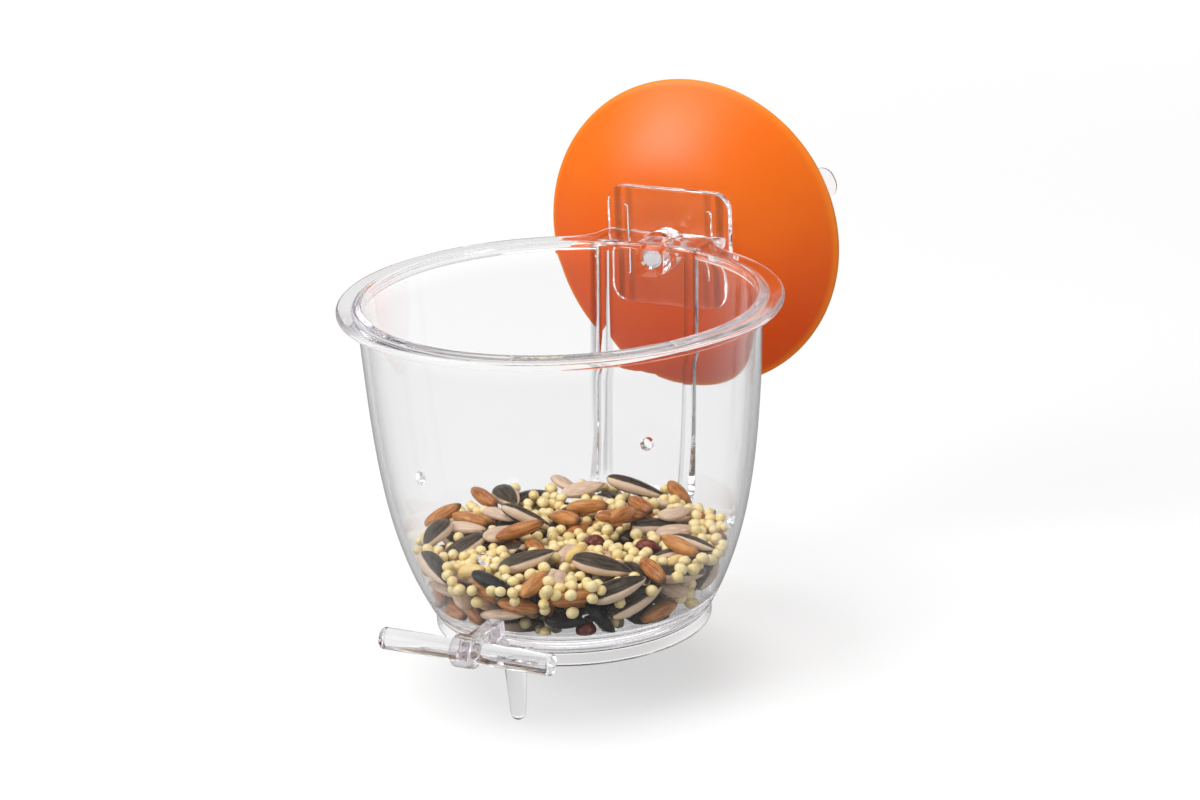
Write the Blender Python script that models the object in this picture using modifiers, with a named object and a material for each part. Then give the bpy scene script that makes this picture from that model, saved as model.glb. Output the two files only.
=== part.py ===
"""Window bird feeder: a clear cup that plugs onto the stud of a suction disc.

Metres, +Z up, +Y towards the window.  The origin is the centre of the window face.
"""
import math

import bmesh
import bpy
from mathutils import Matrix

for old in list(bpy.data.objects):
    bpy.data.objects.remove(old, do_unlink=True)

# Place of the cup: its axis in front of the window, its rim above the stud's axis.
CUP_Y = -0.0697
RIM_Z = 0.0040

# Cup
RIM_R = 0.0489
RIM_T = 0.0018
RIDGE_H = 0.00025
MOUTH_R = 0.0430
CUP_H = 0.0701
WALL_TOP_R = 0.0446
WALL_DRAFT = 0.0044
WALL_TUCK = 0.0086
WALL_T = 0.0015
FLOOR_T = 0.0020
SPIGOT_R = 0.0246
SPIGOT_T = 0.0018
SPIGOT_H = 0.0020
DRAIN_R = 0.0015
DRAIN_Z = -0.0472
CUP_STEPS = 64

# Flat back panel of the cup
PANEL_HALF = 0.0130
PANEL_HALF_IN = 0.0100
PANEL_TOP_Y = 0.0452
PANEL_LOW_Y = 0.0406
PANEL_LOW_Z = -0.0575
PANEL_END_Z = -0.0640
PANEL_T = 0.0020
LINTEL_H = 0.0020

# Rear tab, bearing plate and socket boss of the cup
TAB_HALF = 0.0156
TAB_T = 0.0017
TAB_FILLET = 0.0080
PLATE_W = 0.0312
PLATE_H = 0.0278
PLATE_T = 0.0025
PLATE_R = 0.0042
PLATE_GAP = 0.0132
RIB_X = 0.0107
RIB_LEN = 0.0166
RIB_W = 0.0015
RIB_H = 0.0008
BOSS_W = 0.0068
BOSS_H = 0.0082
BOSS_R = 0.0018
COLLAR_R = 0.0050
COLLAR_L = 0.0042

# Suction disc, fixing stud and sealing pad, measured out from the window
DISC_R = 0.0371
DISC_DOME = 0.0129
DISC_LIP_T = 0.0013
DISC_LIP_W = 0.0046
DISC_CORE_T = 0.0040
DISC_SEAT_R = 0.0080
DISC_BACK = 0.0013
STUD_R = 0.0025
STUD_TIP = 0.0232
STUD_FLAT = 0.0017
BUTTON_R = 0.0070
BUTTON_T = 0.0016
PAD_R = 0.0361
PAD_T = 0.0010
TAB_ANGLE = math.radians(24.0)
TAB_REACH = 0.0391
TAB_WIDE = 0.0072

# Foot ring
FOOT_R = 0.0309
FOOT_T = 0.0018
FOOT_H = 0.0041
LEDGE_R = 0.0250
LEDGE_T = 0.0014
LUG_R = 0.0038

# Perch
ROD_R = 0.0024
ROD_HALF = 0.0205
ROD_Y = -0.0490
ROD_Z = -0.0646
EYE_R = 0.0036
EYE_W = 0.0050
ARM_W = 0.0042
ARM_H = 0.0042
NECK_W = 0.0028
PEG_Y = -0.0280
PEG_R = 0.0023
PEG_SWELL_R = 0.0025
PEG_TIP_R = 0.0017
PEG_TIP_Z = -0.0889

# Seed: the mound, and half the length, width and depth of the larger seeds on it
SEED_EDGE_Z = -0.0585
SEED_CROWN = 0.0008
SEED_INSET = 0.0016
SEED_STEPS = 16
SEED_RIDE = 0.0012
FLAT_SEED = (0.0062, 0.0027, 0.0017)
GRAIN_SEED = (0.0050, 0.0019, 0.0017)

# Larger seeds on top as photographed: millimetres from the cup's axis, and degrees of turn.
FLAT_SEEDS = (
    (2, 27, 20), (-8, 22, 35), (-22, 19, 75), (-19, 12, -40), (17, 14, 80), (14, 24, 5), (25, 3, -15),
    (-12, 0, 20), (-22, -8, 5), (-15, -14, 75), (-16, -25, -35), (1, -21, 35), (17, -18, 25),
    (7, -4, 50), (22, -22, 45))
GRAIN_SEEDS = (
    (9, 16, -35), (-3, 14, 40), (10, 8, 25), (-4, 6, -25), (17, 4, 85), (27, -6, -10), (-28, -3, 35),
    (-8, -9, 35), (25, -13, -35), (-6, -28, -5))

# Rows of seeds against the wall: height, how many, and how far they tip to either side.
WALL_ROWS = ((-0.0605, 11, 30.0), (-0.0640, 8, 20.0))

GAP = 0.0003


def new_collection(name):
    """Make a collection in the scene."""
    made = bpy.data.collections.new(name)
    bpy.context.scene.collection.children.link(made)
    return made


PARTS = new_collection("window_bird_feeder")
TOOLS = new_collection("cutters")


def material(name, colour, rough, clear=0.0):
    """Make a Principled material."""
    made = bpy.data.materials.new(name)
    made.use_nodes = True
    shader = made.node_tree.nodes["Principled BSDF"]
    shader.inputs["Base Color"].default_value = (*colour, 1.0)
    shader.inputs["Roughness"].default_value = rough
    shader.inputs["Transmission Weight"].default_value = clear
    made.diffuse_color = (*colour, 1.0)
    return made


def place(mesh, name, where, look=None, tool=False):
    """Put a mesh in the scene as a part, or as a hidden tool when no look is given."""
    made = bpy.data.objects.new(name, mesh)
    made.location = where
    (TOOLS if tool else PARTS).objects.link(made)
    if tool:
        made.hide_render = True
        made.display_type = "WIRE"
    if look is not None:
        mesh.materials.append(look)
    return made


def turned(name, profile, where, steps, look=None, closed=False):
    """Turn a profile of (radius, height) points about the object's own Z axis."""
    mesh = bpy.data.meshes.new(name)
    count = len(profile)
    edges = [(i, i + 1) for i in range(count - 1)]
    if closed:
        edges.append((count - 1, 0))
    mesh.from_pydata([(r, 0.0, h) for r, h in profile], edges, [])
    made = place(mesh, name, where, look, tool=look is None)
    screw = made.modifiers.new("turn", "SCREW")
    screw.axis = "Z"
    screw.steps = steps
    screw.render_steps = steps
    screw.use_merge_vertices = True
    screw.merge_threshold = 0.00001
    screw.use_smooth_shade = False
    return made


def prism(name, outline, low, high, axes, where, look=None):
    """Extrude an outline of 2-D points between two levels.

    axes names the outline's two axes and the extrusion axis, such as "xzy".
    """
    slots = ["xyz".index(letter) for letter in axes]
    shape = bmesh.new()
    rings = []
    for level in (low, high):
        ring = []
        for first, second in outline:
            spot = [0.0, 0.0, 0.0]
            spot[slots[0]] = first
            spot[slots[1]] = second
            spot[slots[2]] = level
            ring.append(shape.verts.new(spot))
        rings.append(ring)
    shape.faces.new(rings[0])
    shape.faces.new(rings[1])
    count = len(outline)
    for i in range(count):
        j = (i + 1) % count
        shape.faces.new((rings[0][i], rings[0][j], rings[1][j], rings[1][i]))
    bmesh.ops.recalc_face_normals(shape, faces=shape.faces)
    mesh = bpy.data.meshes.new(name)
    shape.to_mesh(mesh)
    shape.free()
    return place(mesh, name, where, look, tool=look is None)


def box(name, low, high, where, look=None):
    """Make a box between two corners."""
    outline = [(low[0], low[1]), (high[0], low[1]), (high[0], high[1]), (low[0], high[1])]
    return prism(name, outline, low[2], high[2], "xyz", where, look)


def round_rect(wide, tall, radius, steps=4, centre=(0.0, 0.0)):
    """List the points of a rectangle with round corners."""
    points = []
    for corner in range(4):
        start = corner * math.pi / 2
        side_x = 1 if corner in (0, 3) else -1
        side_y = 1 if corner in (0, 1) else -1
        mid_x = centre[0] + side_x * (wide / 2 - radius)
        mid_y = centre[1] + side_y * (tall / 2 - radius)
        for i in range(steps + 1):
            angle = start + i * math.pi / 2 / steps
            points.append((mid_x + radius * math.cos(angle), mid_y + radius * math.sin(angle)))
    return points


def circle(radius, steps, centre=(0.0, 0.0)):
    """List the points of a circle."""
    turn = [2 * math.pi * i / steps for i in range(steps)]
    return [(centre[0] + radius * math.cos(a), centre[1] + radius * math.sin(a)) for a in turn]


def combine(target, other, operation):
    """Add an exact boolean."""
    step = target.modifiers.new(other.name, "BOOLEAN")
    step.operation = operation
    step.solver = "EXACT"
    step.object = other


def soften(target, width, angle=40.0):
    """Bevel the sharp edges of an object."""
    step = target.modifiers.new("soften", "BEVEL")
    step.width = width
    step.segments = 2
    step.limit_method = "ANGLE"
    step.angle_limit = math.radians(angle)


def wall_radius(height):
    """Outer radius of the cup's wall at a height below the rim."""
    depth = -height / CUP_H
    return WALL_TOP_R - WALL_DRAFT * depth - WALL_TUCK * depth ** 4


def bowl_edge(height):
    """Radius at a height that seed may reach inside the bowl."""
    return wall_radius(height) - WALL_T - 2 * GAP - 0.0002


def mound_height(radius):
    """Height of the mound's top at a distance from the cup's axis."""
    return SEED_EDGE_Z + SEED_CROWN * (1 - (radius / bowl_edge(SEED_EDGE_Z)) ** 2)


def add_seed(shape, half, spot, turn):
    """Add a spindle with few faces, its length along X before it is turned."""
    along_x = Matrix.Rotation(math.pi / 2, 4, "Y")
    bmesh.ops.create_uvsphere(
        shape, u_segments=5, v_segments=4, radius=1.0,
        matrix=Matrix.Translation(spot) @ turn @ Matrix.Diagonal((*half, 1.0)) @ along_x)


CLEAR_CUP = material("clear_cup", (0.93, 0.93, 0.96), 0.05, 0.9)
CLEAR_FOOT = material("clear_foot", (0.90, 0.90, 0.94), 0.05, 0.9)
CLEAR_PERCH = material("clear_perch", (0.91, 0.90, 0.93), 0.05, 0.9)
CLEAR_ROD = material("clear_rod", (0.92, 0.92, 0.93), 0.05, 0.9)
CLEAR_STUD = material("clear_stud", (0.82, 0.81, 0.83), 0.10, 0.8)
CLEAR_PAD = material("clear_pad", (0.95, 0.86, 0.82), 0.25, 0.7)
ORANGE = material("orange_silicone", (0.90, 0.27, 0.03), 0.45)
SEED = material("mixed_seed", (0.55, 0.38, 0.18), 0.60)

CUP_AT = (0.0, CUP_Y, RIM_Z)

# Cup: the outside as one turned solid, then the panel, tab, plate and boss, then the hollow.
levels = [-RIM_T - 0.0014 - (CUP_H - RIM_T - 0.0014) * i / 12 for i in range(13)]
outside = [
    (0.0, RIDGE_H),
    (MOUTH_R + 0.0017, RIDGE_H),
    (MOUTH_R + 0.0022, 0.0),
    (RIM_R - 0.0006, 0.0),
    (RIM_R - 0.0002, -0.0002),
    (RIM_R, -0.0006),
    (RIM_R, -RIM_T + 0.0006),
    (RIM_R - 0.0002, -RIM_T + 0.0002),
    (RIM_R - 0.0006, -RIM_T),
    (RIM_R - 0.0028, -RIM_T),
]
outside += [(wall_radius(z), z) for z in levels]
outside += [
    (SPIGOT_R, -CUP_H),
    (SPIGOT_R, -CUP_H - SPIGOT_H),
    (SPIGOT_R - SPIGOT_T, -CUP_H - SPIGOT_H),
    (SPIGOT_R - SPIGOT_T, -CUP_H),
    (0.0, -CUP_H),
]
cup = turned("cup_bowl", outside, CUP_AT, CUP_STEPS, CLEAR_CUP)

# The panel's side view: upright face, then a slope that runs back into the bowl.
panel_side = [
    (0.030, -0.0010),
    (PANEL_TOP_Y, -0.0010),
    (PANEL_LOW_Y, PANEL_LOW_Z),
    (0.0340, PANEL_END_Z),
    (0.0280, PANEL_END_Z),
]
panel = prism("panel_out", panel_side, -PANEL_HALF, PANEL_HALF, "yzx", CUP_AT)
soften(panel, 0.0008)
combine(cup, panel, "UNION")

plate_back = -CUP_Y - PLATE_GAP
plate_front = plate_back - PLATE_T
centre_x = TAB_HALF + TAB_FILLET
centre_y = math.sqrt((RIM_R + TAB_FILLET) ** 2 - centre_x ** 2)
sweep = math.atan2(centre_x, centre_y)
right_side = [(0.0150, 0.0430)]
for i in range(7):
    angle = math.pi / 2 - sweep + math.pi + (sweep - math.pi / 2) * i / 6
    right_side.append((centre_x + TAB_FILLET * math.cos(angle), centre_y + TAB_FILLET * math.sin(angle)))
right_side.append((TAB_HALF - 0.0010, plate_front + 0.0006))
tab_plan = right_side + [(-x, y) for x, y in reversed(right_side)]
tab = prism("tab", tab_plan, -TAB_T, -0.00005, "xyz", CUP_AT)
combine(cup, tab, "UNION")

plate = prism(
    "plate", round_rect(PLATE_W, PLATE_H, PLATE_R, 5, (0.0, -RIM_Z + 0.0003)),
    plate_front, plate_back, "xzy", CUP_AT)
soften(plate, 0.0005, 60.0)
combine(cup, plate, "UNION")
for side in (-1, 1):
    rib = prism(
        "rib_right" if side > 0 else "rib_left",
        round_rect(RIB_W, RIB_LEN, RIB_W * 0.45, 3, (side * RIB_X, -RIM_Z + 0.0016)),
        plate_front - RIB_H, plate_front + 0.0005, "xzy", CUP_AT)
    combine(cup, rib, "UNION")

boss = prism(
    "boss", round_rect(BOSS_W, BOSS_H, BOSS_R, 4, (0.0, -RIM_Z)),
    PANEL_TOP_Y - 0.0016, plate_front + 0.0007, "xzy", CUP_AT)
combine(cup, boss, "UNION")
collar = prism(
    "collar", circle(COLLAR_R, 28, (0.0, -RIM_Z + 0.0002)),
    plate_front - COLLAR_L, plate_front + 0.0009, "xzy", CUP_AT)
combine(cup, collar, "UNION")

inner_floor = -CUP_H + FLOOR_T
hollow = [(0.0, 0.0030), (MOUTH_R + 0.0007, 0.0030), (MOUTH_R + 0.0006, RIDGE_H - 0.0001),
          (MOUTH_R + 0.0001, RIDGE_H - 0.0008)]
for i in range(11):
    z = -0.0030 - (-0.0030 - inner_floor - 0.0030) * i / 10
    hollow.append((wall_radius(z) - WALL_T, z))
bend_r = hollow[-1][0] - 0.0030
for i in range(1, 5):
    angle = math.radians(90.0 * i / 4)
    hollow.append((bend_r + 0.0030 * math.cos(angle) - 0.0006 * math.sin(angle),
                   inner_floor + 0.0030 - 0.0030 * math.sin(angle)))
hollow.append((0.0, inner_floor))
bowl_hollow = turned("bowl_hollow", hollow, CUP_AT, CUP_STEPS)
combine(cup, bowl_hollow, "DIFFERENCE")

recess_side = [
    (0.0300, -LINTEL_H),
    (PANEL_TOP_Y - PANEL_T, -LINTEL_H),
    (PANEL_LOW_Y - PANEL_T, PANEL_LOW_Z + 0.0006),
    (0.0325, PANEL_END_Z + 0.0026),
    (0.0270, PANEL_END_Z + 0.0026),
]
recess = prism("panel_recess", recess_side, -PANEL_HALF_IN, PANEL_HALF_IN, "yzx", CUP_AT)
combine(cup, recess, "DIFFERENCE")

for side, turn in (("right", 0.0), ("back", 90.0), ("left", 180.0), ("front", 270.0)):
    drain = prism(
        "drain_" + side, circle(DRAIN_R, 16, (0.0, DRAIN_Z)), 0.0330, 0.0460, "yzx", CUP_AT)
    drain.rotation_euler = (0.0, 0.0, math.radians(turn))
    combine(cup, drain, "DIFFERENCE")

# Socket for the stud: round with one flat, blind at the cup's end.
socket = prism(
    "socket", circle(STUD_R + GAP, 24, (0.0, -RIM_Z)),
    -CUP_Y - STUD_TIP - 0.0005, plate_back + 0.0010, "xzy", CUP_AT)
socket_flat = box(
    "socket_flat", (-0.004, 0.040, -RIM_Z + STUD_FLAT + GAP), (0.004, plate_back - 0.0013, 0.002),
    CUP_AT)
combine(socket, socket_flat, "DIFFERENCE")
combine(cup, socket, "DIFFERENCE")

# Foot ring: skirt, inward ledge round the cup's spigot, front lug with the peg hole and its slot.
foot_top = -CUP_H - GAP
foot_low = foot_top - FOOT_H
ring = [
    (FOOT_R - 0.0004, foot_top),
    (FOOT_R, foot_top - 0.0004),
    (FOOT_R, foot_low + 0.0004),
    (FOOT_R - 0.0004, foot_low),
    (FOOT_R - FOOT_T + 0.0003, foot_low),
    (FOOT_R - FOOT_T, foot_low + 0.0003),
    (FOOT_R - FOOT_T, foot_top - LEDGE_T),
    (LEDGE_R, foot_top - LEDGE_T),
    (LEDGE_R, foot_top),
]
foot = turned("foot_ring", ring, CUP_AT, CUP_STEPS, CLEAR_FOOT, closed=True)
lug = prism(
    "lug", circle(LUG_R, 24, (0.0, PEG_Y)), foot_low + 0.0002, foot_top - 0.0006, "xyz", CUP_AT)
spigot_clear = turned(
    "spigot_clear",
    [(0.0, foot_top + 0.001), (LEDGE_R + 0.0002, foot_top + 0.001),
     (LEDGE_R + 0.0002, foot_low - 0.001), (0.0, foot_low - 0.001)],
    CUP_AT, CUP_STEPS)
combine(lug, spigot_clear, "DIFFERENCE")
combine(foot, lug, "UNION")
peg_hole = prism(
    "peg_hole", circle(PEG_R + GAP, 24, (0.0, PEG_Y)), foot_low - 0.001, foot_top + 0.001, "xyz", CUP_AT)
combine(foot, peg_hole, "DIFFERENCE")
web_low = foot_top - 0.0026
slot = box(
    "web_slot", (-NECK_W / 2 - GAP, -0.0340, web_low - GAP),
    (NECK_W / 2 + GAP, PEG_Y, foot_top + 0.001), CUP_AT)
combine(foot, slot, "DIFFERENCE")

# Perch bracket: arm, eye, neck down the outside of the bowl, web through the slot, tapered peg.
arm_top = ROD_Z + ARM_H / 2
arm_low = ROD_Z - ARM_H / 2
arm_root = -wall_radius(arm_top) - GAP
root_low = arm_root + 0.0006
bracket = prism(
    "perch_bracket",
    [(ROD_Y, arm_low), (ROD_Y, arm_top), (arm_root, arm_top), (root_low, arm_low)],
    -ARM_W / 2, ARM_W / 2, "yzx", CUP_AT, CLEAR_PERCH)
soften(bracket, 0.0004)
neck = prism(
    "neck",
    [(arm_root - 0.0016, arm_low + 0.0012), (arm_root - 0.0002, arm_low + 0.0012),
     (-wall_radius(arm_low - 0.0020) - GAP, arm_low - 0.0020),
     (-wall_radius(-CUP_H) - GAP, foot_top + GAP), (-0.0304, foot_top), (PEG_Y, foot_top - GAP),
     (PEG_Y, web_low), (-FOOT_R - 0.0004, web_low), (-FOOT_R - 0.0022, foot_top),
     (arm_root - 0.0006, arm_low - 0.0012)],
    -NECK_W / 2, NECK_W / 2, "yzx", CUP_AT)
combine(bracket, neck, "UNION")
peg_profile = [(0.0, foot_top - GAP), (PEG_R, foot_top - GAP), (PEG_R, foot_low),
               (PEG_SWELL_R, foot_low - 0.0012)]
for i in range(5):
    angle = math.radians(90.0 * i / 4)
    peg_profile.append((PEG_TIP_R * math.cos(angle),
                        PEG_TIP_Z + PEG_TIP_R - PEG_TIP_R * math.sin(angle)))
peg_profile[-1] = (0.0, PEG_TIP_Z)
peg = turned("peg", peg_profile, (0.0, CUP_Y + PEG_Y, RIM_Z), 24)
combine(bracket, peg, "UNION")
eye = prism("eye", circle(EYE_R, 28, (ROD_Y, ROD_Z)), -EYE_W / 2, EYE_W / 2, "yzx", CUP_AT)
soften(eye, 0.0003)
combine(bracket, eye, "UNION")
eye_hole = prism(
    "eye_hole", circle(ROD_R + GAP, 28, (ROD_Y, ROD_Z)), -0.004, 0.004, "yzx", CUP_AT)
combine(bracket, eye_hole, "DIFFERENCE")

# Crossbar: a round rod with eased ends; its own Z axis lies along the cup's X axis.
rod = turned(
    "perch_crossbar",
    [(0.0, ROD_HALF), (ROD_R - 0.0005, ROD_HALF), (ROD_R, ROD_HALF - 0.0005),
     (ROD_R, -ROD_HALF + 0.0005), (ROD_R - 0.0005, -ROD_HALF), (0.0, -ROD_HALF)],
    (0.0, CUP_Y + ROD_Y, RIM_Z + ROD_Z), 28, CLEAR_ROD)
rod.rotation_euler = (0.0, math.pi / 2, 0.0)

# Suction disc, turned about the line through the window face; its own Z points into the room.
ROOM = (math.pi / 2, 0.0, 0.0)
dome = []
core_back = DISC_DOME - DISC_CORE_T
for i in range(7):
    part = i / 6
    radius = DISC_SEAT_R + (DISC_R - 0.0006 - DISC_SEAT_R) * part
    rise = DISC_DOME - (DISC_DOME - DISC_BACK - DISC_LIP_T) * part ** 2
    dome.append((radius, rise))
under = []
lip_in = DISC_R - DISC_LIP_W
for i in range(6):
    part = i / 5
    radius = lip_in - (lip_in - DISC_SEAT_R) * part
    rise = DISC_BACK + (core_back - DISC_BACK) * (1 - (1 - part) ** 2)
    under.append((radius, rise))
disc_profile = [(STUD_R + GAP, DISC_DOME)] + dome
disc_profile += [(DISC_R, DISC_BACK + DISC_LIP_T - 0.0005), (DISC_R, DISC_BACK + 0.0003),
                 (DISC_R - 0.0003, DISC_BACK)]
disc_profile += under + [(STUD_R + GAP, core_back)]
disc = turned("suction_disc", disc_profile, (0.0, 0.0, 0.0), 64, ORANGE, closed=True)
disc.rotation_euler = ROOM

# Stud: button behind the disc, round neck through it, flatted pin in the cup's socket.
button_top = core_back - GAP
stud = turned(
    "fixing_stud",
    [(0.0, STUD_TIP), (STUD_R - 0.0006, STUD_TIP), (STUD_R, STUD_TIP - 0.0006),
     (STUD_R, button_top), (BUTTON_R - 0.0003, button_top), (BUTTON_R, button_top - 0.0003),
     (BUTTON_R, button_top - BUTTON_T), (0.0, button_top - BUTTON_T)],
    (0.0, 0.0, 0.0), 32, CLEAR_STUD)
stud.rotation_euler = ROOM
stud_flat = box(
    "stud_flat", (-0.004, -0.030, STUD_FLAT), (0.004, -PLATE_GAP - 0.0012, 0.006), (0.0, 0.0, 0.0))
combine(stud, stud_flat, "DIFFERENCE")

# Sealing pad: a clear disc on the window with a pull tab.
pad = turned(
    "sealing_pad",
    [(0.0, PAD_T), (PAD_R - 0.0002, PAD_T), (PAD_R, PAD_T - 0.0002), (PAD_R, 0.0), (0.0, 0.0)],
    (0.0, 0.0, 0.0), 64, CLEAR_PAD)
pad.rotation_euler = ROOM
pull = prism(
    "pull_tab", round_rect(TAB_REACH - 0.030, TAB_WIDE, 0.0030, 5, ((TAB_REACH + 0.030) / 2, 0.0)),
    -PAD_T + 0.0001, -0.0001, "xzy", (0.0, 0.0, 0.0))
pull.rotation_euler = (0.0, -TAB_ANGLE, 0.0)
combine(pad, pull, "UNION")

# Seed: a low mound that fills the bottom of the bowl, with the larger seeds half sunk in it.
seed_low = inner_floor + GAP
mound_r = bowl_edge(SEED_EDGE_Z) - SEED_INSET
mound = [(radius, mound_height(radius)) for radius in (0.0, mound_r / 2, mound_r)]
for i in range(1, 4):
    z = SEED_EDGE_Z - (SEED_EDGE_Z - inner_floor - 0.0036) * i / 3
    mound.append((bowl_edge(z) - SEED_INSET, z))
mound.append((mound[-1][0] - 0.0014, seed_low + 0.0012))
mound.append((mound[-1][0] - 0.0028, seed_low))
mound.append((0.0, seed_low))
seed = turned("seed_fill", mound, CUP_AT, SEED_STEPS, SEED)

strewn = bmesh.new()
for half, places in ((FLAT_SEED, FLAT_SEEDS), (GRAIN_SEED, GRAIN_SEEDS)):
    for x_mm, y_mm, degrees in places:
        x, y = x_mm / 1000, y_mm / 1000
        spot = (x, y, mound_height(math.hypot(x, y)) + SEED_RIDE)
        add_seed(strewn, half, spot, Matrix.Rotation(math.radians(degrees), 4, "Z"))

# A seed at the wall lies flat on it: its depth along the wall's normal, its length round the bowl.
flat_on_wall = Matrix.Rotation(math.pi / 2, 4, "Z") @ Matrix.Rotation(math.pi / 2, 4, "X")
for row, (height, count, tip) in enumerate(WALL_ROWS):
    lean = math.atan2(bowl_edge(height + 0.001) - bowl_edge(height - 0.001), 0.002)
    depth = FLAT_SEED[2]
    radius = bowl_edge(height) - GAP - depth * math.cos(lean)
    level = height + depth * math.sin(lean)
    for i in range(count):
        angle = 2 * math.pi * (i + row / 2) / count
        side = 1 if i % 2 else -1
        turn = (Matrix.Rotation(angle, 4, "Z") @ Matrix.Rotation(lean, 4, "Y") @ flat_on_wall
                @ Matrix.Rotation(side * math.radians(tip), 4, "Z"))
        add_seed(strewn, FLAT_SEED, (radius * math.cos(angle), radius * math.sin(angle), level), turn)
strewn_mesh = bpy.data.meshes.new("strewn_seeds")
strewn.to_mesh(strewn_mesh)
strewn.free()
strewn_seeds = place(strewn_mesh, "strewn_seeds", CUP_AT, tool=True)
combine(seed, strewn_seeds, "UNION")
seed.modifiers[-1].use_self = True
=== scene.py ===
"""Window bird feeder: a clear cup with a perch and a foot, on the stud of an orange suction disc.

Metres, +Z up, +Y towards the window.  The origin is the centre of the window face.
The cup's own pieces are drawn about its axis, with height 0 at the rim, and moved into place.
"""
import logging
import math
import random
from collections.abc import Sequence
from dataclasses import dataclass, field
from enum import Enum
from typing import Any

import bmesh
import bpy
import numpy as np
from mathutils import Matrix, Vector

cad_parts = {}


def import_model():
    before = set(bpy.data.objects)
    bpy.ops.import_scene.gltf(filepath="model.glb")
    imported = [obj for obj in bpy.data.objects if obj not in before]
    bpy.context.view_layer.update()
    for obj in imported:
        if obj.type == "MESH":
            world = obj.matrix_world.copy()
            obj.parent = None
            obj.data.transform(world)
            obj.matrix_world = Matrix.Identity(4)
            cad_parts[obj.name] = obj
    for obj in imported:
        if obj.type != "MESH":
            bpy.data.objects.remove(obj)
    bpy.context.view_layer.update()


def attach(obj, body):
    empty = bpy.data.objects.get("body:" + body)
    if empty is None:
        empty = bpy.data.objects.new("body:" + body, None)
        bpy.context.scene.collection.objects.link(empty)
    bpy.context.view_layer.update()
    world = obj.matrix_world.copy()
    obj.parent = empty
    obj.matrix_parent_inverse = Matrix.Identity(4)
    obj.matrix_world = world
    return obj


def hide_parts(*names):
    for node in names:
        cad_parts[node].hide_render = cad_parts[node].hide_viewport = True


LOG = logging.getLogger("window_bird_feeder")

Point = tuple[float, float]
Triple = tuple[float, float, float]
Colour = Triple
Socket = bpy.types.NodeSocket
Sockets = bpy.types.bpy_prop_collection

# Two values and the two results that a ramp gives there
Span = tuple[float, float, float, float]

MM = 0.001  # a millimetre
BITE = 0.0010  # a cutter's reach past the face that it opens
WELD = 1e-6  # points closer than this are one
LEVEL = 1e-9  # edges that rise less than this are level
POLE = 1e-4  # rings narrower than this are a seed's ends


# Modelling tools


class View(Enum):
    """Plane that an outline is drawn in: the axes of its first, second and depth values."""

    PLAN = (0, 1, 2)
    FRONT = (0, 2, 1)
    SIDE = (1, 2, 0)

    def stand(self) -> Matrix:
        """Find how a flat outline stands up in this plane.

        Returns:
            The matrix that stands it up.
        """
        turn = Matrix(((0.0,) * 4,) * 4)
        turn[3][3] = 1.0
        for column, row in enumerate(self.value):
            turn[row][column] = 1.0
        return turn


class Step(Enum):
    """What a solid does to the one before it."""

    ADD = "UNION"
    TAKE = "DIFFERENCE"


@dataclass(frozen=True)
class Corner:
    """One corner of an outline, with the radius that rounds it."""

    first: float
    second: float
    radius: float = 0.0

    def spot(self) -> Vector:
        """Place of the corner in its plane."""
        return Vector((self.first, self.second))


def rounded(corners: Sequence[Corner], steps: int = 5) -> list[Point]:
    """Round the corners of an outline.

    Args:
        corners: Corners in order; the two ends of an open outline have no radius.
        steps: Segments of each round corner.

    Returns:
        The points of the outline.
    """
    points: list[Point] = []
    for i, corner in enumerate(corners):
        here = corner.spot()
        if corner.radius <= 0.0:
            points.append((here.x, here.y))
            continue
        back = (corners[i - 1].spot() - here).normalized()
        ahead = (corners[(i + 1) % len(corners)].spot() - here).normalized()
        half = back.angle(ahead) / 2
        middle = here + (back + ahead).normalized() * (corner.radius / math.sin(half))
        start = here + back * (corner.radius / math.tan(half)) - middle
        end = here + ahead * (corner.radius / math.tan(half)) - middle
        for k in range(steps + 1):
            spot = middle + start.slerp(end, k / steps).normalized() * corner.radius
            points.append((spot.x, spot.y))
    return points


def round_rect(wide: float, tall: float, radius: float, centre: Point = (0.0, 0.0)) -> list[Point]:
    """Outline a rectangle with round corners.

    Args:
        wide: Size along the outline's first axis.
        tall: Size along its second axis.
        radius: Radius of the corners.
        centre: Middle of the rectangle.

    Returns:
        The points of the outline.
    """
    a, b = wide / 2, tall / 2
    signs = ((1, -1), (1, 1), (-1, 1), (-1, -1))
    return rounded([Corner(centre[0] + i * a, centre[1] + j * b, radius) for i, j in signs])


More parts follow.
